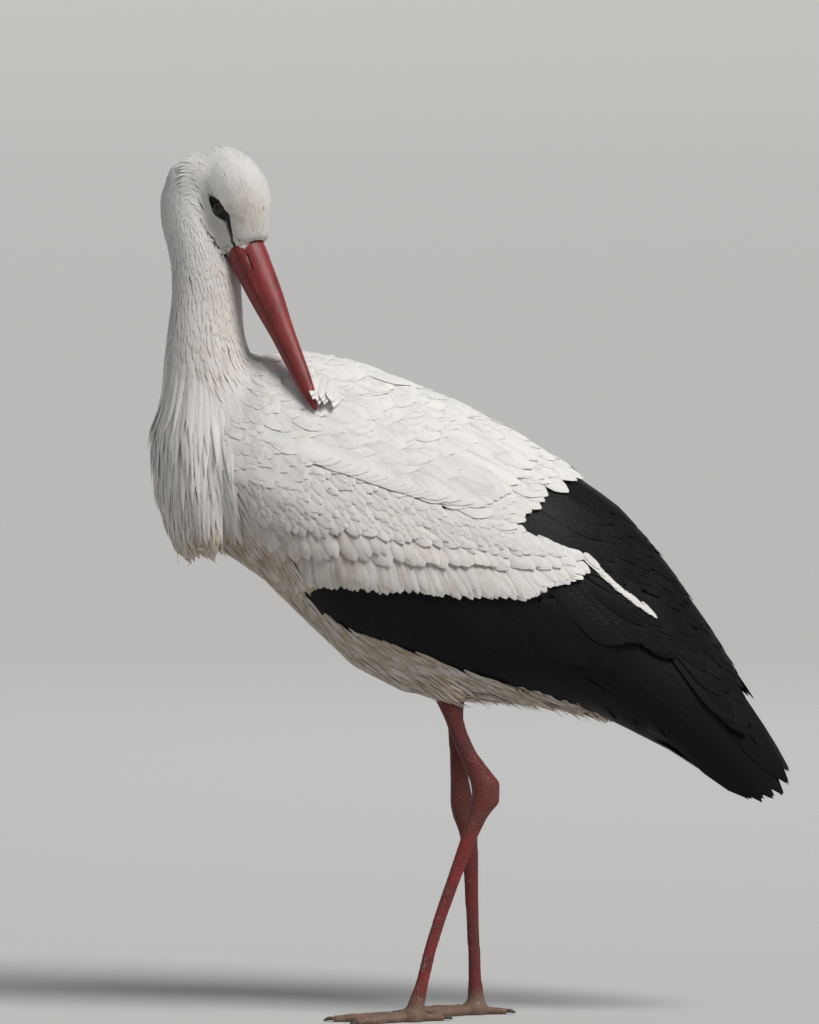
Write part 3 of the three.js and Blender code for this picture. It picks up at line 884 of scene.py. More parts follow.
def plumageMaterial(name, dark):
    paint = Finish(name)
    vane = paint.nodes.new("ShaderNodeUVMap")
    vane.uv_map = "vane"
    split = paint.nodes.new("ShaderNodeSeparateXYZ")
    paint.feed(split.inputs[0], vane.outputs["UV"])
    across = paint.work("ABSOLUTE", paint.work("SUBTRACT", split.outputs["X"], 0.5))
    along, tint = split.outputs["Y"], paint.read("tint")
    barbPhase = paint.slope(across, -26.0, paint.times(along, plumageSet["barbs"]), hold=False)
    barbs = paint.work("SINE", paint.work("ADD", barbPhase, paint.times(tint, 7.0)))
    shaft = paint.work("SUBTRACT", 1.0, paint.times(across, 16.0), hold=True)
    cloud = paint.noise(90.0, 3.0)
    if dark:
        base = paint.mix(paint.slope(tint, 0.22, 0.3), plumageSet["black"], plumageSet["slate"])
        edge = paint.times(paint.work("POWER", paint.times(across, 2.0), 6.0), 0.6)
        base = paint.mix(paint.times(edge, paint.slope(cloud, 2.0, -0.6)), base, plumageSet["rust"])
        base = paint.mix(paint.times(shaft, 0.5), base, plumageSet["blackShaft"])
        paint.put({"Roughness": 0.5, "Specular IOR Level": 0.1, "Sheen Weight": 0.01, "Sheen Roughness": 0.4,
                   "Sheen Tint": (0.62, 0.68, 0.85, 1)})
    else:
        base = paint.mix(paint.slope(tint, 0.18, 0.35), plumageSet["white"], plumageSet["cool"])
        # painted shade: the earthy stain also darkens the belly, the undertail and the breast behind the
        # plumes
        patchy = paint.times(paint.read("stain"), paint.slope(cloud, 1.5, 0.1))
        base = paint.mix(patchy, base, plumageSet["earth"])
        base = paint.mix(paint.times(shaft, 0.14), base, plumageSet["shaft"])
        rootShade = paint.work("SUBTRACT", 0.5, paint.times(along, 0.9), hold=True)
        base = paint.mix(paint.times(rootShade, 0.5), base, plumageSet["root"])
        base = paint.mix(paint.times(paint.noise(900.0, 2.0), 0.16), base, plumageSet["dust"])
        paint.put({"Roughness": 0.72, "Specular IOR Level": 0.2, "Sheen Weight": 0.15, "Sheen Roughness": 0.5,
                   "Subsurface Weight": 0.3, "Subsurface Radius": (1.0, 0.93, 0.85),
                   "Subsurface Scale": 0.003})
    paint.put({"Base Color": base})
    paint.bump(paint.slope(shaft, 2.0, barbs, hold=False), 0.22 if dark else 0.1, 0.0002)
    return paint.material


whitePlumage = plumageMaterial("white_plumage_vanes", False)
blackPlumage = plumageMaterial("black_plumage_vanes", True)


# eye, its dark rim and the dark streak to the bill, free of feathers
def bareFace(points, wider=0.0):
    bare = np.zeros(len(points), bool)
    along, up, _ = headMeasures(points)
    for side in (-1, 1):
        ring, outwards = eyeRing(points, side, "rim", wider)
        bare |= (ring < 1) & (outwards > 4)
        bare |= (outwards > 3) & (faceStreak(along, up) > -wider)
    return bare


# lengths cut so that no tip lies over a place to keep clear, and which feathers are still long enough
def shortened(roots, ways, lengths, shortest, covered):
    free = np.ones(len(roots))
    for share in np.linspace(1.0, 0.1, 10):
        free = np.where(covered(roots + ways * (lengths * share)[:, None]), share - 0.1, free)
    return np.maximum(lengths * free, shortest), lengths * free >= shortest * 0.8


# head
headSet = {"fine": 1.45, "coarse": 2.7, "shortest": 2.2, "seed": 11}
headLook = {
    "shape": "lance", "stray": 0.06, "camber": 0.1, "thick": 0.12, "steps": 3, "soft": 0.25, "wobble": 0.02,
}


def headSpacing(points):
    along, _, _ = headMeasures(points)
    return np.clip(headSet["fine"] + (-along - 15) / 60 * 1.2, headSet["fine"], headSet["coarse"])


def headWanted(points, normals):
    along, up, _ = headMeasures(points)
    nearHead = aboveNeckBase(points) & (flowOf(points)[2] < headCount + 6)
    return nearHead & ~bareFace(points, -0.2) & ((along < 1) | (up > 12))


roots, _ = scatter(form, headSpacing, headWanted, headSet["seed"])
back = step(-headMeasures(roots)[0], 5, 80)
lengths, kept = shortened(
    roots, lie(roots), 6 + back * 10, headSet["shortest"], lambda spots: bareFace(spots, 0.3))
roots, back, lengths = roots[kept], back[kept], lengths[kept]
crest = bell(roots[:, 0], -260, 13) * bell(roots[:, 2], 800, 13) * 4.5
headFeathers = layFeathers("coat_head", form, roots, lie(roots), {
    **headLook, "lengths": lengths, "widths": np.minimum(1.9 + back * 1.9, lengths * 0.42),
    "rootDrop": 0.5 + back * 0.5 - crest * 0.6, "tipRise": 0.04 + back * 0.1 + crest,
}, 12, bend=lie)

# neck
neckLook = {
    "shape": "lance", "stray": 0.14, "camber": 0.1, "thick": 0.15, "steps": 4, "soft": 0.5, "wobble": 0.04,
}


def neckSpacing(points):
    return np.clip(2.8 + (740 - points[:, 2]) / 150 * 2.2, 2.7, 5.4)


def neckWanted(points, normals):
    return aboveNeckBase(points) & (flowOf(points)[2] >= headCount + 3)


roots, _ = scatter(form, neckSpacing, neckWanted, 21)
low = np.clip((740 - roots[:, 2]) / 180, 0, 1)
layFeathers("coat_neck", form, roots, lie(roots), {
    **neckLook, "lengths": 15 + low * 25, "widths": 3.6 + low * 3.6, "rootDrop": 0.9 + low * 0.8,
    "tipRise": 0.08 + low * 0.25,
}, 22, bend=lie)

# back, breast and belly
mantleEdge = ((-300, 560), (-180, 520), (-60, 480), (80, 400))
mantleLook = {
    "shape": "scale", "lengths": 42, "widths": 20, "rootDrop": 1.5, "tipRise": 0.5, "stray": 0.2,
    "across": 5,
    "camber": 0.02, "soft": 0.35, "thick": 0.2, "curl": 0.4, "cling": form,
}
underpartsLook = {
    "shape": "lance", "widths": 5.0, "rootDrop": 1.5, "tipRise": 0.1, "stray": 0.25, "camber": 0.1,
    "soft": 0.2,
    "thick": 0.15, "steps": 4,
}


def bodyWanted(points, normals):
    seam = (points[:, 0] > -215) & (points[:, 2] < linesAt(neckBase, points[:, 0]) + 7)
    here = (~aboveNeckBase(points) | seam) & (points[:, 2] > 303)
    return here & ~underWing(points) & ~behindWhite(points)


def bodySpacing(points):
    above = points[:, 2] > linesAt(mantleEdge, points[:, 0])
    byNeck = (points[:, 0] < -165) & (points[:, 2] > linesAt(neckBase, points[:, 0]) - 16)
    wide = np.clip(7.6 + (points[:, 0] + 180) / 200 * 2.4, 6.6, 10.5)
    return np.where(byNeck, 4.2, np.where(above, wide, 4.9))


roots, _ = scatter(form, bodySpacing, bodyWanted, 31)
top = roots[:, 2] > linesAt(mantleEdge, roots[:, 0])
layFeathers("coat_mantle", form, roots[top], lie(roots[top]), mantleLook, 32, bend=lie)
roots = roots[~top]
lengths, kept = shortened(
    roots, lie(roots), np.full(len(roots), 31.0), 8.0, lambda spots: underWing(spots) & (spots[:, 2] < 398))
roots = roots[kept]
look = {**underpartsLook, "lengths": lengths[kept]}
layFeathers("coat_underparts", form, roots, lie(roots), look, 33, bend=lie)

# wings, laid row by row from the feathers' tips in the side view
wingSpread = {"lengths": 0.06, "widths": 0.05, "rootDrop": 0.1, "tipRise": 0.1, "stray": 0.2, "wobble": 0.02}


# tips along a row's line and the way each feather points, which turns from the row's front end to its back
def rowTips(row, rng):
    line, count = np.array(row["line"], float), row["count"]
    reachAt = np.concatenate([[0], np.cumsum(np.linalg.norm(np.diff(line, axis=0), axis=1))])
    jitter = rng.uniform(-row["jitter"], row["jitter"], count)
    at = (np.arange(count) + 0.5 + jitter) / count * reachAt[-1]
    share = at / reachAt[-1]
    tips = np.stack([np.interp(at, reachAt, line[:, axis]) for axis in (0, 1)], 1)
    swing = share ** row.get("swing", 1)
    ways = np.stack([row["way"][0] + swing * row["turn"][0], row["way"][1] + share * row["turn"][1]], 1)
    if "wayStray" in row:
        ways = ways + rng.normal(0, row["wayStray"], (count, 2))
    if "tipStray" in row:
        tips = tips + rng.normal(0, row["tipStray"], (count, 2))
    look = dict(row)
    for key in ("lengths", "widths"):
        if key + "Between" in row:
            look[key] = rng.uniform(*row[key + "Between"], count)
        elif isinstance(row[key], tuple):
            look[key] = row[key][0] + share * row[key][1]
    return tips + ways * row.get("past", 0), ways, look


def holdOn(values, order, back):  # past the form's edge a feather keeps its course
    for s in order:
        gone = np.isnan(values[0][:, s, 0])
        for part in values:
            part[gone, s] = part[gone, s - back]


def laySide(name, tips, ways, look, side):
    rng = np.random.default_rng(look["seed"])
    count = len(tips)
    look = varied({**look, "lean": look.get("lean", 0.0) * side}, count, rng, wingSpread)
    look["rootDrop"] = look["rootDrop"] - look["level"]
    look["tipRise"] = look["tipRise"] + look["level"]
    ways = unit(ways)
    steps = look["steps"]
    shares = np.linspace(0, 1, steps + 1)
    lift = (shares * (1 - shares) * 4)[None, :, None] * (look["arc"] * look["lengths"])[:, None, None]
    upwards = np.stack([-ways[:, 1], ways[:, 0]], 1)
    back = (look["lengths"][:, None] * (1 - shares))[..., None]
    flat = tips[:, None] - ways[:, None] * back + upwards[:, None] * lift
    spots, normals = form.cast(flat[..., 0].ravel(), flat[..., 1].ravel(), side)
    spots = spots.reshape(count, steps + 1, 3)
    normals = normals.reshape(count, steps + 1, 3)
    holdOn((spots, normals), range(1, steps + 1), 1)
    holdOn((spots, normals), range(steps - 1, -1, -1), -1)
    spots[..., 0], spots[..., 2] = flat[..., 0], flat[..., 1]
    for _ in range(2):
        spots[:, 1:-1, 1] = (spots[:, :-2, 1] + spots[:, 1:-1, 1] * 2 + spots[:, 2:, 1]) / 4
        normals[:, 1:-1] = unit(normals[:, :-2] + normals[:, 1:-1] + normals[:, 2:])
    heading = np.empty_like(spots)
    heading[:, 1:-1] = spots[:, 2:] - spots[:, :-2]
    heading[:, 0], heading[:, -1] = spots[:, 1] - spots[:, 0], spots[:, -1] - spots[:, -2]
    heading = unit(heading)
    look["stain"] = np.clip(stainAndShadeAt(spots[:, steps // 2]) * look["stainShare"], 0, 1)
    return vaneMesh(name, spots, square(normals, heading), heading, look, rng, spots[:, 0])


primarySet = {
    "tips": ((243, 203), (256, 205), (268, 204), (279, 207), (288, 212), (294, 222), (296, 233)),
    "roots": ((20, 333), (45, 345), (70, 358), (95, 372), (118, 388), (138, 402), (156, 410)),
    "shape": "quill", "widths": 27, "rootDrop": 4, "tipRise": np.linspace(-3.5, 0.5, 7), "across": 7,
    "camber": 0.1,
    "thick": 0.9, "steps": 14, "lean": -0.03, "arc": 0.02, "ease": 1.0, "level": -3.0, "seed": 61,
}
quillRow = {
    "shape": "quill", "widths": 27, "rootDrop": 4, "tipRise": 0.2, "across": 7, "camber": 0.08,
    "thick": 0.5,
    "steps": 8, "lean": 0.03, "ease": 1.0, "jitter": 0.1,
}
quillRows = {
    "secondaries": {
        "line": ((-150, 388), (-124, 371), (-82, 358), (-40, 340), (25, 319), (81, 299), (131, 279),
                 (173, 266)),
        "count": 15, "way": (0.80, -0.46), "turn": (0.08, -0.02), "past": 16, "lengths": (120, 55),
        "widths": 26,
        "rootDrop": 5, "tipRise": -0.6, "camber": 0.1, "thick": 0.8, "steps": 12, "lean": 0.05, "arc": 0.02,
        "level": -1.5, "seed": 62,
    },
    "greaterCoverts": {
        "line": ((-160, 392), (-133, 376), (-105, 363), (-73, 353), (-21, 346), (44, 340), (98, 335),
                 (122, 328), (146, 330)),
        "count": 19, "way": (0.25, -0.95), "turn": (0.55, 0.25), "lengths": (74, 22), "widths": 26,
        "level": -0.8,
        "seed": 63,
    },
    "innerCoverts": {
        "line": ((128, 352), (150, 356), (172, 352), (192, 338)),
        "count": 9, "way": (0.66, -0.75), "turn": (0.04, 0.03), "lengths": 96, "level": -0.4, "seed": 75,
    },
    "tertials": {
        "line": ((120, 420), (136, 404), (156, 390), (178, 374), (198, 352)),
        "count": 8, "way": (0.68, -0.73), "turn": (0, 0), "past": 30, "lengths": 130, "widths": 24,
        "thick": 0.6,
        "steps": 10, "seed": 64,
    },
}

fringeRow = {
    "line": ((-184, 410), (-176, 401), (-162, 400), (-141, 406), (-109, 404), (-54, 402), (7, 398), (46, 396),
             (60, 399), (73, 406), (92, 413), (108, 420)),
    "count": 62, "jitter": 0.4, "way": (0.05, -1), "turn": (0.75, 0.3), "swing": 1.5, "wayStray": 0.06,
    "tipStray": 1.6, "shape": "fringe", "lengthsBetween": (34, 44), "widthsBetween": (9, 15), "rootDrop": 4,
    "tipRise": 0.5, "camber": 0.11, "thick": 0.25, "steps": 5, "lean": 0.03, "wobble": 0.12, "across": 5,
    "soft": 0.7, "curl": 0.5, "layers": 2, "layerRise": 0.4, "layerBack": 2, "seed": 65,
}
medianRow = {
    "jitter": 0.5, "way": (0.25, -0.97), "turn": (0.55, 0.3), "wayStray": 0.08, "tipStray": 2.2,
    "shape": "scale",
    "rootDrop": 3, "tipRise": 0.6, "across": 5, "camber": 0.13, "thick": 0.2, "steps": 4, "lean": 0.02,
    "soft": 0.8, "stray": 0.4, "wobble": 0.06, "curl": 0.8, "level": 0.4,
}
medianRows = (
    {"line": ((-197, 446), (-186, 439), (-161, 434), (-124, 436), (-68, 432), (-21, 428), (25, 426),
              (62, 426), (88, 428), (104, 432)),
     "count": 42, "widthsBetween": (19 * 0.65, 19 * 1.15), "lengths": 33, "seed": 67},
    {"line": ((-204, 474), (-192, 466), (-161, 456), (-124, 458), (-68, 452), (-21, 446), (25, 442),
              (62, 438), (90, 436)),
     "count": 46, "widthsBetween": (17 * 0.65, 17 * 1.15), "lengths": 30, "seed": 68},
)
lesserRow = {
    "from": medianRows[1]["line"],
    "to": ((-200, 540), (-188, 540), (-161, 536), (-136, 536), (-97, 524), (-61, 509), (-33, 501), (2, 483),
           (21, 472), (53, 450), (80, 438)),
    "rows": 11, "most": 40, "jitter": 0.5, "turn": (0.35, 0.35), "wayStray": 0.1, "tipStray": 1.7,
    "shape": "scale",
    "widthsBetween": (8.5, 14), "rootDrop": 1.9, "tipRise": 0.4, "across": 5, "camber": 0.13, "thick": 0.15,
    "steps": 4, "stray": 0.15, "soft": 0.8, "wobble": 0.05, "curl": 0.7, "seed": 80,
}
stripeRow = {
    "line": ((116, 424), (124, 414), (136, 402), (152, 389), (170, 376)), "count": 16, "jitter": 0.4,
    "way": (0.70, -0.70), "turn": (0, 0), "wayStray": 0.05, "shape": "fringe", "lengths": (24, -3),
    "widths": (6.5, -2.5), "rootDrop": 1.5, "tipRise": 0.5, "across": 5, "camber": 0.03, "thick": 0.15,
    "steps": 5,
    "soft": 0.8, "level": 1.0, "seed": 95,
}
flapSet = {
    "feathers": (  # x and z of the tip, length, width, slope
        (60, 521, 95, 27, -0.57), (35, 494, 95, 38, -0.50), (12, 482, 85, 23, -0.48),
        (-34, 494, 78, 26, -0.42),
        (-62, 503, 72, 24, -0.38), (-96, 515, 68, 24, -0.35), (-130, 528, 60, 22, -0.30)),
    "shape": "quill", "rootDrop": 1.0, "tipRise": 1.3, "across": 7, "camber": 0.05, "thick": 0.25,
    "steps": 7,
    "soft": 0.5, "curl": 0.5, "ease": 1.0, "level": 0.8, "seed": 96,
}
lesserFill = {
    "corner": (-184, 476), "farCorner": (-136, 500), "count": 26, "way": (0.6, -0.8), "shape": "scale",
    "lengths": 24, "widths": 14, "rootDrop": 1.6, "tipRise": 0.5, "across": 5, "camber": 0.12,
    "thick": 0.15,
    "steps": 4, "soft": 0.8, "curl": 0.7, "level": 0.3, "seed": 98,
}
chestEdge = {
    "count": 40, "way": (0.68, -0.73), "shape": "lance", "lengths": 34, "widths": 7, "rootDrop": 1.5,
    "tipRise": 0.2, "across": 3, "camber": 0.1, "thick": 0.15, "steps": 5, "soft": 0.4, "seed": 97,
}


def layQuills(side, rng):
    tips, roots = np.array(primarySet["tips"], float), np.array(primarySet["roots"], float)
    lengths = np.linalg.norm(tips - roots, axis=1)
    made = [laySide("primaries", tips, tips - roots, {**primarySet, "lengths": lengths}, side)]
    for name, row in quillRows.items():
        made.append(laySide(name, *rowTips({**quillRow, **row}, rng), side))
    return made


def layCoverts(side, rng):
    made = []
    for layer in range(fringeRow["layers"]):
        tips, ways, look = rowTips(fringeRow, rng)
        look["tipRise"] += fringeRow["layerRise"] * layer
        look["seed"] += layer
        made.append(laySide("fringe", tips - unit(ways) * (fringeRow["layerBack"] * layer), ways, look, side))
    for row in medianRows:
        made.append(laySide("median", *rowTips({**medianRow, **row}, rng), side))
    x = np.linspace(-202, 84, 24)
    for row in range(lesserRow["rows"]):  # from the median rows up to the flap
        t = (row + 1) / lesserRow["rows"]
        z = linesAt(lesserRow["from"], x) * (1 - t) + linesAt(lesserRow["to"], x) * t
        made.append(laySide("lesser", *rowTips({
            **lesserRow, "line": np.stack([x, z], 1), "count": lesserRow["most"] - row,
            "way": (0.55 + t * 0.1, -0.85 + t * 0.1), "lengths": 23 - t * 3, "level": 0.5 - 1.4 * t,
            "seed": lesserRow["seed"] + row}, rng), side))
    made.append(laySide("stripe", *rowTips(stripeRow, rng), side))
    flap = np.array(flapSet["feathers"], float)
    between = (flap[1:] + flap[:-1]) / 2
    flap = np.concatenate([flap, between, (flap[1:] + between) / 2, (flap[:-1] + between) / 2])
    ways = np.stack([np.sqrt(1 - flap[:, 4] ** 2), flap[:, 4]], 1)
    look = {**flapSet, "lengths": flap[:, 2], "widths": flap[:, 3]}
    made.append(laySide("flapEdge", flap[:, :2], ways, look, side))
    count = lesserFill["count"]
    tips = rng.uniform(lesserFill["corner"], lesserFill["farCorner"], (count, 2))
    made.append(laySide("lesserFill", tips, rng.normal(lesserFill["way"], 0.1, (count, 2)), lesserFill, side))
    count = chestEdge["count"]
    x = rng.uniform(-178, -152, count)
    tips = np.stack([x, 404 - (x + 178) * 0.75 + rng.uniform(-3, 8, count)], 1)
    ways = chestEdge["way"] + rng.normal(0, 0.08, (count, 2))
    made.append(laySide("chestEdge", tips, ways, chestEdge, side))
    return made


for side, sideName in ((-1, "left"), (1, "right")):
    rng = np.random.default_rng(50 + side)
    quills, coverts = layQuills(side, rng), layCoverts(side, rng)
    finishCoat(join(quills, f"coat_wing_{sideName}_quills"), True)
    finishCoat(join(coverts, f"coat_wing_{sideName}_coverts"))

# black scapulars, over the rump
blackScapularLook = {
    "shape": "quill", "lengths": 140, "widths": 24, "rootDrop": 6.5, "tipRise": 0.2, "across": 5,
    "camber": 0.03,
    "thick": 0.35, "steps": 9, "stray": 0.15, "soft": 0.5, "ease": 1.0, "wobble": 0.02, "cling": form,
}
blackScapularEdge = ((0, 492), (21, 489), (53, 465), (86, 434), (105, 462), (132, 436), (165, 392),
(200, 330))


def blackScapularWanted(points, normals):
    low = linesAt(blackScapularEdge, points[:, 0])
    return behindWhite(points) & (points[:, 0] < 206) & (points[:, 2] > low) & (points[:, 0] > 5)


roots, _ = scatter(form, 12.0, blackScapularWanted, 41)
roots = roots - bodyLie(roots) * 52, bodyLie(roots)
layFeathers("coat_scapulars_black", form, *roots, blackScapularLook, 42, dark=True, bend=bodyLie)

# white scapulars, a smooth flap over the small coverts
whiteScapularLook = {
    "shape": "quill", "lengths": 60, "widths": 27, "rootDrop": 1.2, "tipRise": 0.8, "across": 7,
    "camber": 0.02,
    "thick": 0.25, "steps": 6, "stray": 0.2, "soft": 0.4, "curl": 0.4, "cling": form,
}


def whiteScapularWanted(points, normals):
    above = points[:, 2] > linesAt(flapLine, points[:, 0]) + 4
    return above & ~behindWhite(points) & (points[:, 0] > -135) & (np.abs(points[:, 1]) > 4)


roots, _ = scatter(form, 14.0, whiteScapularWanted, 43)
roots = roots - bodyLie(roots) * 30, bodyLie(roots)
layFeathers("coat_scapulars_white", form, *roots, whiteScapularLook, 44, bend=bodyLie)

# hanging plumes of the foreneck
plumeLook = {
    "shape": "plume", "widths": 8.5, "rootDrop": 1.6, "tipRise": 2.0, "across": 5, "camber": 0.12,
    "thick": 0.35,
    "steps": 8, "stray": 1.6, "soft": 0.6, "grip": 0.25, "wobble": 0.12,
}


def plumeWanted(points, normals):
    front = np.interp(points[:, 2], (440, 480, 540, 600, 640), (-236, -226, -222, -236, -262))
    return (points[:, 2] > 452) & (points[:, 2] < 648) & (points[:, 0] < front)


def plumeLie(points):
    return unit(np.stack([0.06 + 0 * points[:, 0], -points[:, 1] / 500, -np.ones(len(points))], 1))


roots, _ = scatter(plumedForm, 7.0, plumeWanted, 45)
drop = np.clip((roots[:, 2] - 418) * 0.72, 30, 96)
layFeathers("coat_plumes", plumedForm, roots, plumeLie(roots), {**plumeLook, "lengths": drop}, 46)

# fluff under the tail and round the thighs
hindForm = makeForm(["trunk", "tail", "thigh_left", "thigh_right"], "formHind")
undertailLook = {
    "shape": "lance", "lengths": 34, "widths": 3.8, "rootDrop": 2.0, "tipRise": 1.6, "camber": 0.12,
    "thick": 0.15,
    "steps": 5, "stray": 2.4, "soft": 0.4, "wobble": 0.2, "grip": 0.25,
}


def undertailWanted(points, normals):
    low = linesAt(((-60, 330), (40, 326), (130, 300), (250, 250)), points[:, 0])
    here = (points[:, 0] > -70) & (points[:, 0] < 178) & (points[:, 2] > 222)
    return here & (points[:, 2] < low) & (normals[:, 2] < 0.45)


roots, _ = scatter(hindForm, 4.8, undertailWanted, 47)
layFeathers("coat_undertail", hindForm, roots, bodyLie(roots), undertailLook, 48, bend=bodyLie)

# the white tail, a fan of broad feathers
tailSet = {
    "feathers": 12, "stations": 10, "base": (98, 328), "end": (254, 233), "fan": 25.0, "arch": 3.4,
    "droop": 2.0,
    "width": 22.0, "stain": 0.3, "across": 7, "camber": 0.05, "thick": 0.6,
}
count = tailSet["feathers"]
turns = np.linspace(-1, 1, count)
share = np.linspace(0, 1, tailSet["stations"])
(baseX, baseZ), (endX, endZ) = tailSet["base"], tailSet["end"]
axis = unit(np.array((endX - baseX, 0.0, endZ - baseZ)))
upTail = np.array((-axis[2], 0.0, axis[0]))
length = math.hypot(endX - baseX, endZ - baseZ)
line = np.zeros((count, tailSet["stations"], 3))
for k, turn in enumerate(turns):
    line[k] = np.array((baseX, 0.0, baseZ)) + axis * (share[:, None] * length * (1 - 0.05 * turn * turn))
    line[k, :, 1] += turn * tailSet["fan"] * (0.35 + 0.65 * share)
    line[k] += upTail * (tailSet["arch"] * (1 - abs(turn)) - tailSet["droop"] * turn * turn)
up = np.tile(upTail, (count, tailSet["stations"], 1))
up = unit(up + np.array((0, 1, 0)) * (turns * 0.12)[:, None, None])
rng = np.random.default_rng(49)
finishCoat(vaneMesh("coat_tail", line, up, unit(np.gradient(line, axis=1)), {
    **tailSet, "profile": profiles["quill"], "lengths": np.full(count, length), "tilt": -turns * 0.05,
    "widths": np.full(count, tailSet["width"]), "rootDrop": np.zeros(count), "tipRise": np.zeros(count),
    "tint": rng.normal(0, 1, count), "stain": np.full(count, tailSet["stain"]),
}, rng, line[:, 0]))

# bill
# the slit colour is painted shade, for the bite line between the mandibles and the nostrils
billSet = {
    "red": (0.225, 0.027, 0.028, 1), "deep": (0.115, 0.018, 0.018, 1), "pale": (0.46, 0.18, 0.15, 1),
    "slit": (0.035, 0.008, 0.007, 1), "split": 0.22,
}
billLine = np.array((  # along the bill, its middle's height, half width, then height above and below
    (-14, 0, 14, 15, 16), (4, 0, 16.2, 18.4, 19.2), (30, 0, 15.4, 17.8, 18.4), (59, 0, 13.6, 15.8, 16),
    (90, 0, 10.5, 12.2, 12.4), (120, 0, 8.6, 10, 10.2), (146, 0, 6.8, 7.8, 7.8), (164, 0, 4.2, 4.6, 4.4),
    (174, -0.5, 0.6, 0.6, 0.6),
), float)


def smoothLine(x, line):  # smooth values between the stations of a line
    slopes = np.gradient(line[:, 1:], line[:, 0], axis=0)
    low = np.clip(np.searchsorted(line[:, 0], x, side="right") - 1, 0, len(line) - 2)
    gap = (line[low + 1, 0] - line[low, 0])[:, None]
    t = (x - line[low, 0])[:, None] / gap
    rise = (2 * t ** 3 - 3 * t ** 2 + 1) * line[low, 1:] + (3 * t ** 2 - 2 * t ** 3) * line[low + 1, 1:]
    return rise + (t ** 3 - 2 * t ** 2 + t) * slopes[low] * gap + (t ** 3 - t ** 2) * slopes[low + 1] * gap


def nostrilAt(along, up, out):
    slitUp = 8.6 - (along - 14) * 0.10
    shape = step(along, 11, 3) * np.clip((30 - along) / 5, 0, 1)
    return bell(up, slitUp, 0.75) * shape * (np.abs(out) > 4), slitUp


def makeHorn(half, facing):
    deselect()
    bpy.ops.mesh.primitive_uv_sphere_add(segments=96, ring_count=150, radius=mm, location=(0, 0, 0))
    horn = bpy.context.object
    horn.name = f"bill_{half}_horn"
    points = pointsOf(horn.data)
    turn = np.arctan2(points[:, 1], points[:, 0])
    latitude = np.arccos(np.clip(-points[:, 2], -1, 1)) / math.pi
    along = billLine[0, 0] + (billLine[-1, 0] - billLine[0, 0]) * latitude
    middle, wide, above, below = smoothLine(along, billLine).T
    cap = 1
    for end in (latitude, 1 - latitude):
        cap = cap * np.sqrt(np.clip(1 - (1 - np.clip(end / 0.02, 0, 1)) ** 2, 0, 1))
    c, s = np.cos(turn), np.sin(turn)
    out = wide * np.sign(c) * np.abs(c) ** np.where(s > 0, 1.12, 1.0) * cap
    up = middle + np.where(s > 0, above, below) * s * cap
    turnedIn = bell(up, 0, 0.9) * 0.45 * np.clip((170 - along) / 20, 0, 1)  # at the biting edges
    out -= np.sign(out) * turnedIn
    if half == "upper":
        nostril, slitUp = nostrilAt(along, up, out)
        groove = bell(up, slitUp, 2.8) * step(along, 4, 10) * np.clip((95 - along) / 55, 0, 1)
        out -= np.sign(out) * (nostril * 2.2 + groove * 0.7)
    else:
        gutter = bell(up, -9, 2.2) * step(along, 10, 20) * np.clip((110 - along) / 40, 0, 1)
        out -= np.sign(out) * gutter * 0.45
    putPoints(horn.data, headPoint(along[:, None], up[:, None], out[:, None]))
    uncut = addObject(f"{half}Form", horn.data.copy())
    choose(horn)
    bpy.ops.object.mode_set(mode="EDIT")
    bpy.ops.mesh.select_all(action="SELECT")
    bpy.ops.mesh.normals_make_consistent(inside=False)
    cut = headPoint(0, billSet["split"] * facing) * mm
    bpy.ops.mesh.bisect(plane_co=cut, plane_no=crownwards * facing, use_fill=True, clear_inner=True)
    bpy.ops.mesh.select_all(action="SELECT")
    bpy.ops.mesh.remove_doubles(threshold=0.00001)
    bpy.ops.mesh.normals_make_consistent(inside=False)
    bpy.ops.object.mode_set(mode="OBJECT")
    bpy.ops.object.shade_smooth_by_angle(angle=math.radians(50))
    return horn, uncut


upperHorn, upperForm = makeHorn("upper", 1)
lowerHorn, lowerForm = makeHorn("lower", -1)

# ruffled feathers that the bill is drawn through, lying over it near the tip
tuftLook = {"profile": profiles["plume"], "across": 7, "camber": 0.16, "thick": 0.15, "ragged": 0.0}

rng = np.random.default_rng(54)
count = 13
startX, startZ = np.linspace(-142, -126, count), 606 - np.linspace(0, 8, count) + rng.uniform(-2, 2, count)
starts, _ = form.cast(startX, startZ, -1)
endX, endY = startX - np.linspace(8, 3, count), np.linspace(-70.5, -64, count)
ends = np.stack([endX, endY, startZ - rng.uniform(19, 26, count)], 1)
share = np.linspace(0, 1, 7)[None, :, None]
line = starts[:, None] * (1 - share) + ends[:, None] * share
line[:, :, 1] -= (share * (1 - share))[..., 0] * 9
heading = unit(np.gradient(line, axis=1))
facing = square(np.broadcast_to(np.array((0.2, -0.9, 0.4)), line.shape), heading)
finishCoat(vaneMesh("coat_bill_tuft", line, facing, heading, {
    **tuftLook, "lengths": np.linalg.norm(ends - starts, axis=1), "widths": rng.uniform(10, 14, count),
    "rootDrop": np.full(count, 2.0), "tipRise": np.zeros(count), "tint": rng.normal(0, 1, count),
    "stain": np.full(count, 0.05),
}, rng, starts))

# short feathers that end in a rounded lobe over the horn, on both sides and under the chin: they are spread
# over the uncut halves, whose faces are put in order first, as they come in another order on each run
lobeLook = {
    "shape": "lance", "lengths": 4.2, "widths": 1.8, "rootDrop": -0.15, "tipRise": 0.6, "stray": 0.05,
    "camber": 0.04, "thick": 0.1, "steps": 3, "soft": 0.2, "wobble": 0.02,
}


def orderedTriangles(mesh):
    triangles = []
    for face in mesh.polygons:
        around = list(face.vertices)
        first = around.index(min(around))
        around = around[first:] + around[:first]
        triangles += [(around[0], b, c) for b, c in zip(around[1:], around[2:])]
    return np.array(sorted(triangles), np.int32)


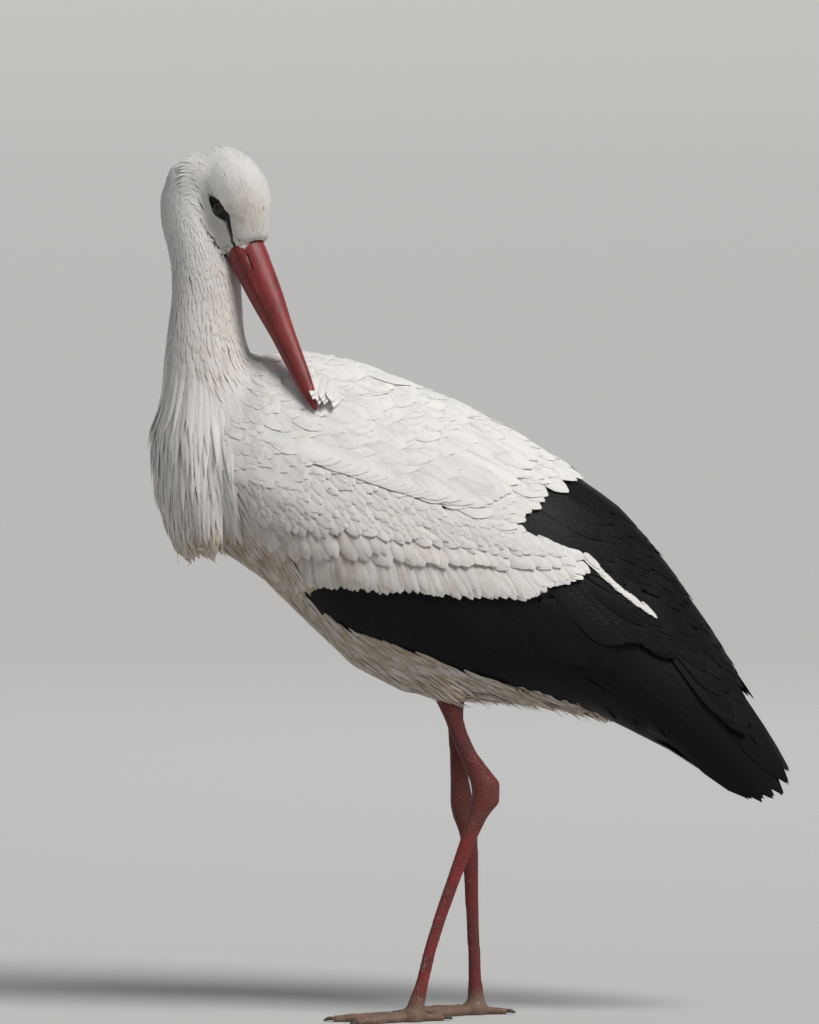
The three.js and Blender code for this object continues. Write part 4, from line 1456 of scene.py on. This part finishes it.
hornForm = join([upperForm, lowerForm], "hornForm")
triangles = orderedTriangles(hornForm.data)
points = pointsOf(hornForm.data)
up = headMeasures(points[triangles].mean(1))[1]
ofUpper = triangles[:, 0] < len(points) // 2
onItsSide = np.where(ofUpper, up > billSet["split"], up < -billSet["split"])
hornSurface = Surface(hornForm.data, triangles[onItsSide])
bpy.data.objects.remove(hornForm)


def lobeWanted(points, normals):
    along, up, _ = headMeasures(points)
    reach = 1.5 + 6.5 * bell(up, 10.0, 4.5) + 6 * bell(up, -17, 6.0) - 5 * bell(up, 1.0, 2.2)
    return (along > -7) & (along < reach)


roots, normals = scatter(hornSurface, 1.15, lobeWanted, 51)
layFeathers("coat_bill_edge", hornSurface, roots, unit(normals * 0.25 - forwards), lobeLook, 52)


def billMaterial():
    paint = Finish("red_bill_horn")
    turn = paint.nodes.new("ShaderNodeMapping")
    turn.vector_type = "TEXTURE"
    turn.inputs["Rotation"].default_value = Vector(forwards).to_track_quat("Z", "Y").to_euler()
    turn.inputs["Scale"].default_value = (1, 1, 9)
    paint.feed(turn.inputs["Vector"], paint.place)
    lengthwise = turn.outputs["Vector"]
    streaks = paint.noise(420.0, 4.0, lengthwise)
    scuffs = paint.noise(1500.0, 3.0, lengthwise, 0.7)
    base = paint.mix(paint.slope(paint.noise(55.0, 4.0), 2.4, -0.75), billSet["red"], billSet["deep"])
    base = paint.mix(paint.times(paint.slope(streaks, 4.0, -2.3), 0.28), base, billSet["pale"])
    # painted shade: the bite line between the mandibles and the nostril slits are darkened
    base = paint.mix(paint.read("slit"), base, billSet["slit"])
    paint.put({"Base Color": base, "Roughness": paint.slope(scuffs, 0.3, 0.33, hold=False)})
    paint.put({"Specular IOR Level": 0.36, "Subsurface Weight": 0.12, "Subsurface Scale": 1.0,
               "Subsurface Radius": (0.004, 0.0012, 0.001)})
    paint.bump(paint.work("ADD", streaks, paint.times(scuffs, 0.4)), 0.35, 0.0003)
    return paint.material


redBill = billMaterial()
for horn, node in ((upperHorn, "bill_upper"), (lowerHorn, "bill_lower")):
    along, up, out = headMeasures(pointsOf(horn.data))
    # painted shade along the bite line between the mandibles, and in the nostrils
    split = np.clip(1 - np.abs(up) / 0.5, 0, 1) * np.clip((168 - along) / 60, 0, 1) * 0.6
    nostril, _ = nostrilAt(along, up, out)
    putValue(horn.data, "slit", np.clip(np.maximum(split, nostril), 0, 1))
    horn.data.materials.append(redBill)
    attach(horn, "root")
    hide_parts(node)
say("bill")


# eyes
def eyeMaterial():
    paint = Finish("dark_wet_eye")
    ring = paint.read("ringOut")
    base = paint.mix(paint.noise(2600.0, 3.0), (0.010, 0.006, 0.005, 1), (0.028, 0.017, 0.012, 1))
    base = paint.mix(paint.slope(ring, -2.0, 6.2), base, (0.002, 0.002, 0.002, 1))  # pupil
    base = paint.mix(paint.slope(ring, 2.0, -11.5), base, (0.006, 0.005, 0.005, 1))  # rim
    paint.put({"Base Color": base, "Roughness": 0.08, "Specular IOR Level": 0.3})
    return paint.material


wetEye = eyeMaterial()
for side, node in ((-1, "eye_right"), (1, "eye_left")):
    centre = headPoint(eyeSet["along"], eyeSet["up"], side * eyeSet["out"])
    look = farwards * side
    deselect()
    bpy.ops.mesh.primitive_uv_sphere_add(
        segments=48, ring_count=32, radius=eyeSet["radius"] * mm, location=centre * mm,
        rotation=Vector(look).to_track_quat("Z", "Y").to_euler())
    ball = bpy.context.object
    ball.name = node.replace("eye", "eyeball")
    bpy.ops.object.transform_apply(location=True, rotation=True, scale=True)
    points = pointsOf(ball.data)
    away = (points - centre) @ look
    bulge = np.clip((away / eyeSet["radius"] - 0.72) / 0.28, 0, 1) ** 1.5 * 0.7
    points += look * bulge[:, None]  # the clear bulge over the iris
    putPoints(ball.data, points)
    radial = np.linalg.norm((points - centre) - away[:, None] * look, axis=1)
    putValue(ball.data, "ringOut", np.where(away > 0, radial, 99.0))
    bpy.ops.object.shade_smooth()
    ball.data.materials.append(wetEye)
    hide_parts(node)
    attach(ball, "root")
say("eyes")

# claws
clawSet = {
    "voxel": 0.45, "rounds": 10, "inwards": 2.6, "feet": {"left": (-54, -33, 0), "right": (4, 33, 0)},
    "dark": (0.018, 0.012, 0.010, 1), "pale": (0.075, 0.050, 0.038, 1),
}


def clawMaterial():
    paint = Finish("dark_claw_horn")
    grain = paint.noise(900.0, 4.0)
    paint.put({"Base Color": paint.mix(grain, clawSet["dark"], clawSet["pale"]),
               "Roughness": paint.slope(grain, 0.3, 0.3, hold=False)})
    paint.bump(grain, 0.3, 0.0002)
    return paint.material


darkClaw = clawMaterial()
for side in sides:
    for toe in ("inner", "middle", "outer", "hind"):
        node = f"claw_{side}_{toe}"
        claw = joinCopies([node], f"{node}_horn")
        fuse(claw, clawSet["voxel"] * mm, 0)
        points = relax(claw.data, pointsOf(claw.data), clawSet["rounds"], 0.55)
        inwards = unit(np.array(clawSet["feet"][side]) - points.mean(0) * (1, 1, 0))
        putPoints(claw.data, points + inwards * clawSet["inwards"])
        claw.data.materials.append(darkClaw)
        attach(claw, "root")
        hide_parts(node)
say("claws")

# finish of the skin
skinPoints = pointsOf(skin.data)
skinX, skinY, skinZ = skinPoints.T
along, up, _ = headMeasures(skinPoints)
onHead = isHead(skinPoints)
dark = np.zeros(len(skinPoints))
for side in (-1, 1):
    ring, outwards = eyeRing(skinPoints, side, "rim")
    streak = step(faceStreak(along, up), -0.9, 0.8)
    dark = np.maximum(dark, np.maximum(np.clip((1.2 - ring) / 0.2, 0, 1), streak) * (outwards > 3) * onHead)
legs = np.clip((306 - skinZ) / 8, 0, 1) * np.clip((26 + (290 - skinZ).clip(0) - skinX) / 6, 0, 1)
# painted shade: the shank and the whole far leg are darkened, as they stand in shade
shank = np.maximum(step(skinZ, 205, 30), (skinY > 0) * 0.75)
frontLine = linesAt(((33, -47), (74, -37), (116, -23), (163, -6), (190, 4)), skinZ)
fleck = np.clip((frontLine - skinX) / 3, 0.12, 1) * np.clip((200 - skinZ) / 20, 0.12, 1)
for title, values in (
    ("dark", dark),
    ("legs", legs),
    ("mark", inside(blackArea, skinX, skinZ) * (np.abs(skinY) > 8) * (legs < 0.5)),
    ("stain", stainAndShadeAt(skinPoints)),
    ("ankles", np.maximum(bell(skinZ, 214, 20), bell(skinZ, 192, 20)) * legs),
    ("shank", shank * legs),
    ("fleck", np.where(skinY < 0, fleck, 0.15)),
    ("feet", np.clip((26 - skinZ) / 12, 0, 1) * legs),
):
    putValue(skin.data, title, values)

skinColours = {
    "down": (0.66, 0.62, 0.57, 1), "black": (0.008, 0.008, 0.009, 1), "earth": (0.40, 0.29, 0.19, 1),
    "face": (0.010, 0.009, 0.010, 1), "leg": (0.235, 0.026, 0.024, 1), "legDeep": (0.075, 0.013, 0.013, 1),
    "scaleEdge": (0.46, 0.30, 0.26, 1), "ankle": (0.11, 0.040, 0.028, 1), "foot": (0.15, 0.092, 0.066, 1),
}


def skinMaterial():
    paint = Finish("stork_skin_finish")
    cloud, fine = paint.noise(60.0, 4.0), paint.noise(700.0, 3.0)
    legsHere = paint.read("legs")
    down = paint.mix(paint.read("mark"), skinColours["down"], skinColours["black"])
    # painted shade: the earthy stain also darkens the skin of the underside
    down = paint.mix(paint.times(paint.read("stain"), cloud), down, skinColours["earth"])
    squash = paint.nodes.new("ShaderNodeMapping")
    squash.inputs["Scale"].default_value = (0.9, 0.9, 1.15)
    paint.feed(squash.inputs["Vector"], paint.place)
    scales = paint.nodes.new("ShaderNodeTexVoronoi")
    scales.feature = "DISTANCE_TO_EDGE"
    scales.inputs["Scale"].default_value = 330.0
    scales.inputs["Randomness"].default_value = 0.75
    paint.feed(scales.inputs["Vector"], squash.outputs["Vector"])
    plates = paint.work("MULTIPLY", scales.outputs["Distance"], 9.0, hold=True)
    leg = paint.mix(paint.slope(cloud, 2.2, -0.6), skinColours["leg"], skinColours["legDeep"])
    # painted shade on the shank and the far leg
    leg = paint.mix(paint.times(paint.read("shank"), 0.65), leg, skinColours["legDeep"])
    leg = paint.mix(paint.times(paint.read("ankles"), fine), leg, skinColours["ankle"])
    leg = paint.mix(paint.read("feet"), leg, skinColours["foot"])
    flecks = paint.times(paint.work("SUBTRACT", 1.0, plates), paint.slope(cloud, 3.0, -1.25))
    leg = paint.mix(paint.times(flecks, paint.read("fleck")), leg, skinColours["scaleEdge"])
    base = paint.mix(paint.read("dark"), paint.mix(legsHere, down, leg), skinColours["face"])
    paint.put({"Base Color": base, "Roughness": paint.slope(fine, 0.25, 0.42, hold=False),
               "Specular IOR Level": 0.35})
    paint.bump(paint.slope(plates, legsHere, paint.times(fine, 0.25), hold=False), 0.7, 0.0006)
    return paint.material


skin.data.materials.clear()
skin.data.materials.append(skinMaterial())
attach(skin, "root")
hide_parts(*skinNodes)
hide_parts("breast_plumes", "tail", *wingNodes)

# measures of the coat
say(f"coat {sum(len(piece.data.polygons) for piece in coatPieces) * 2} triangles")
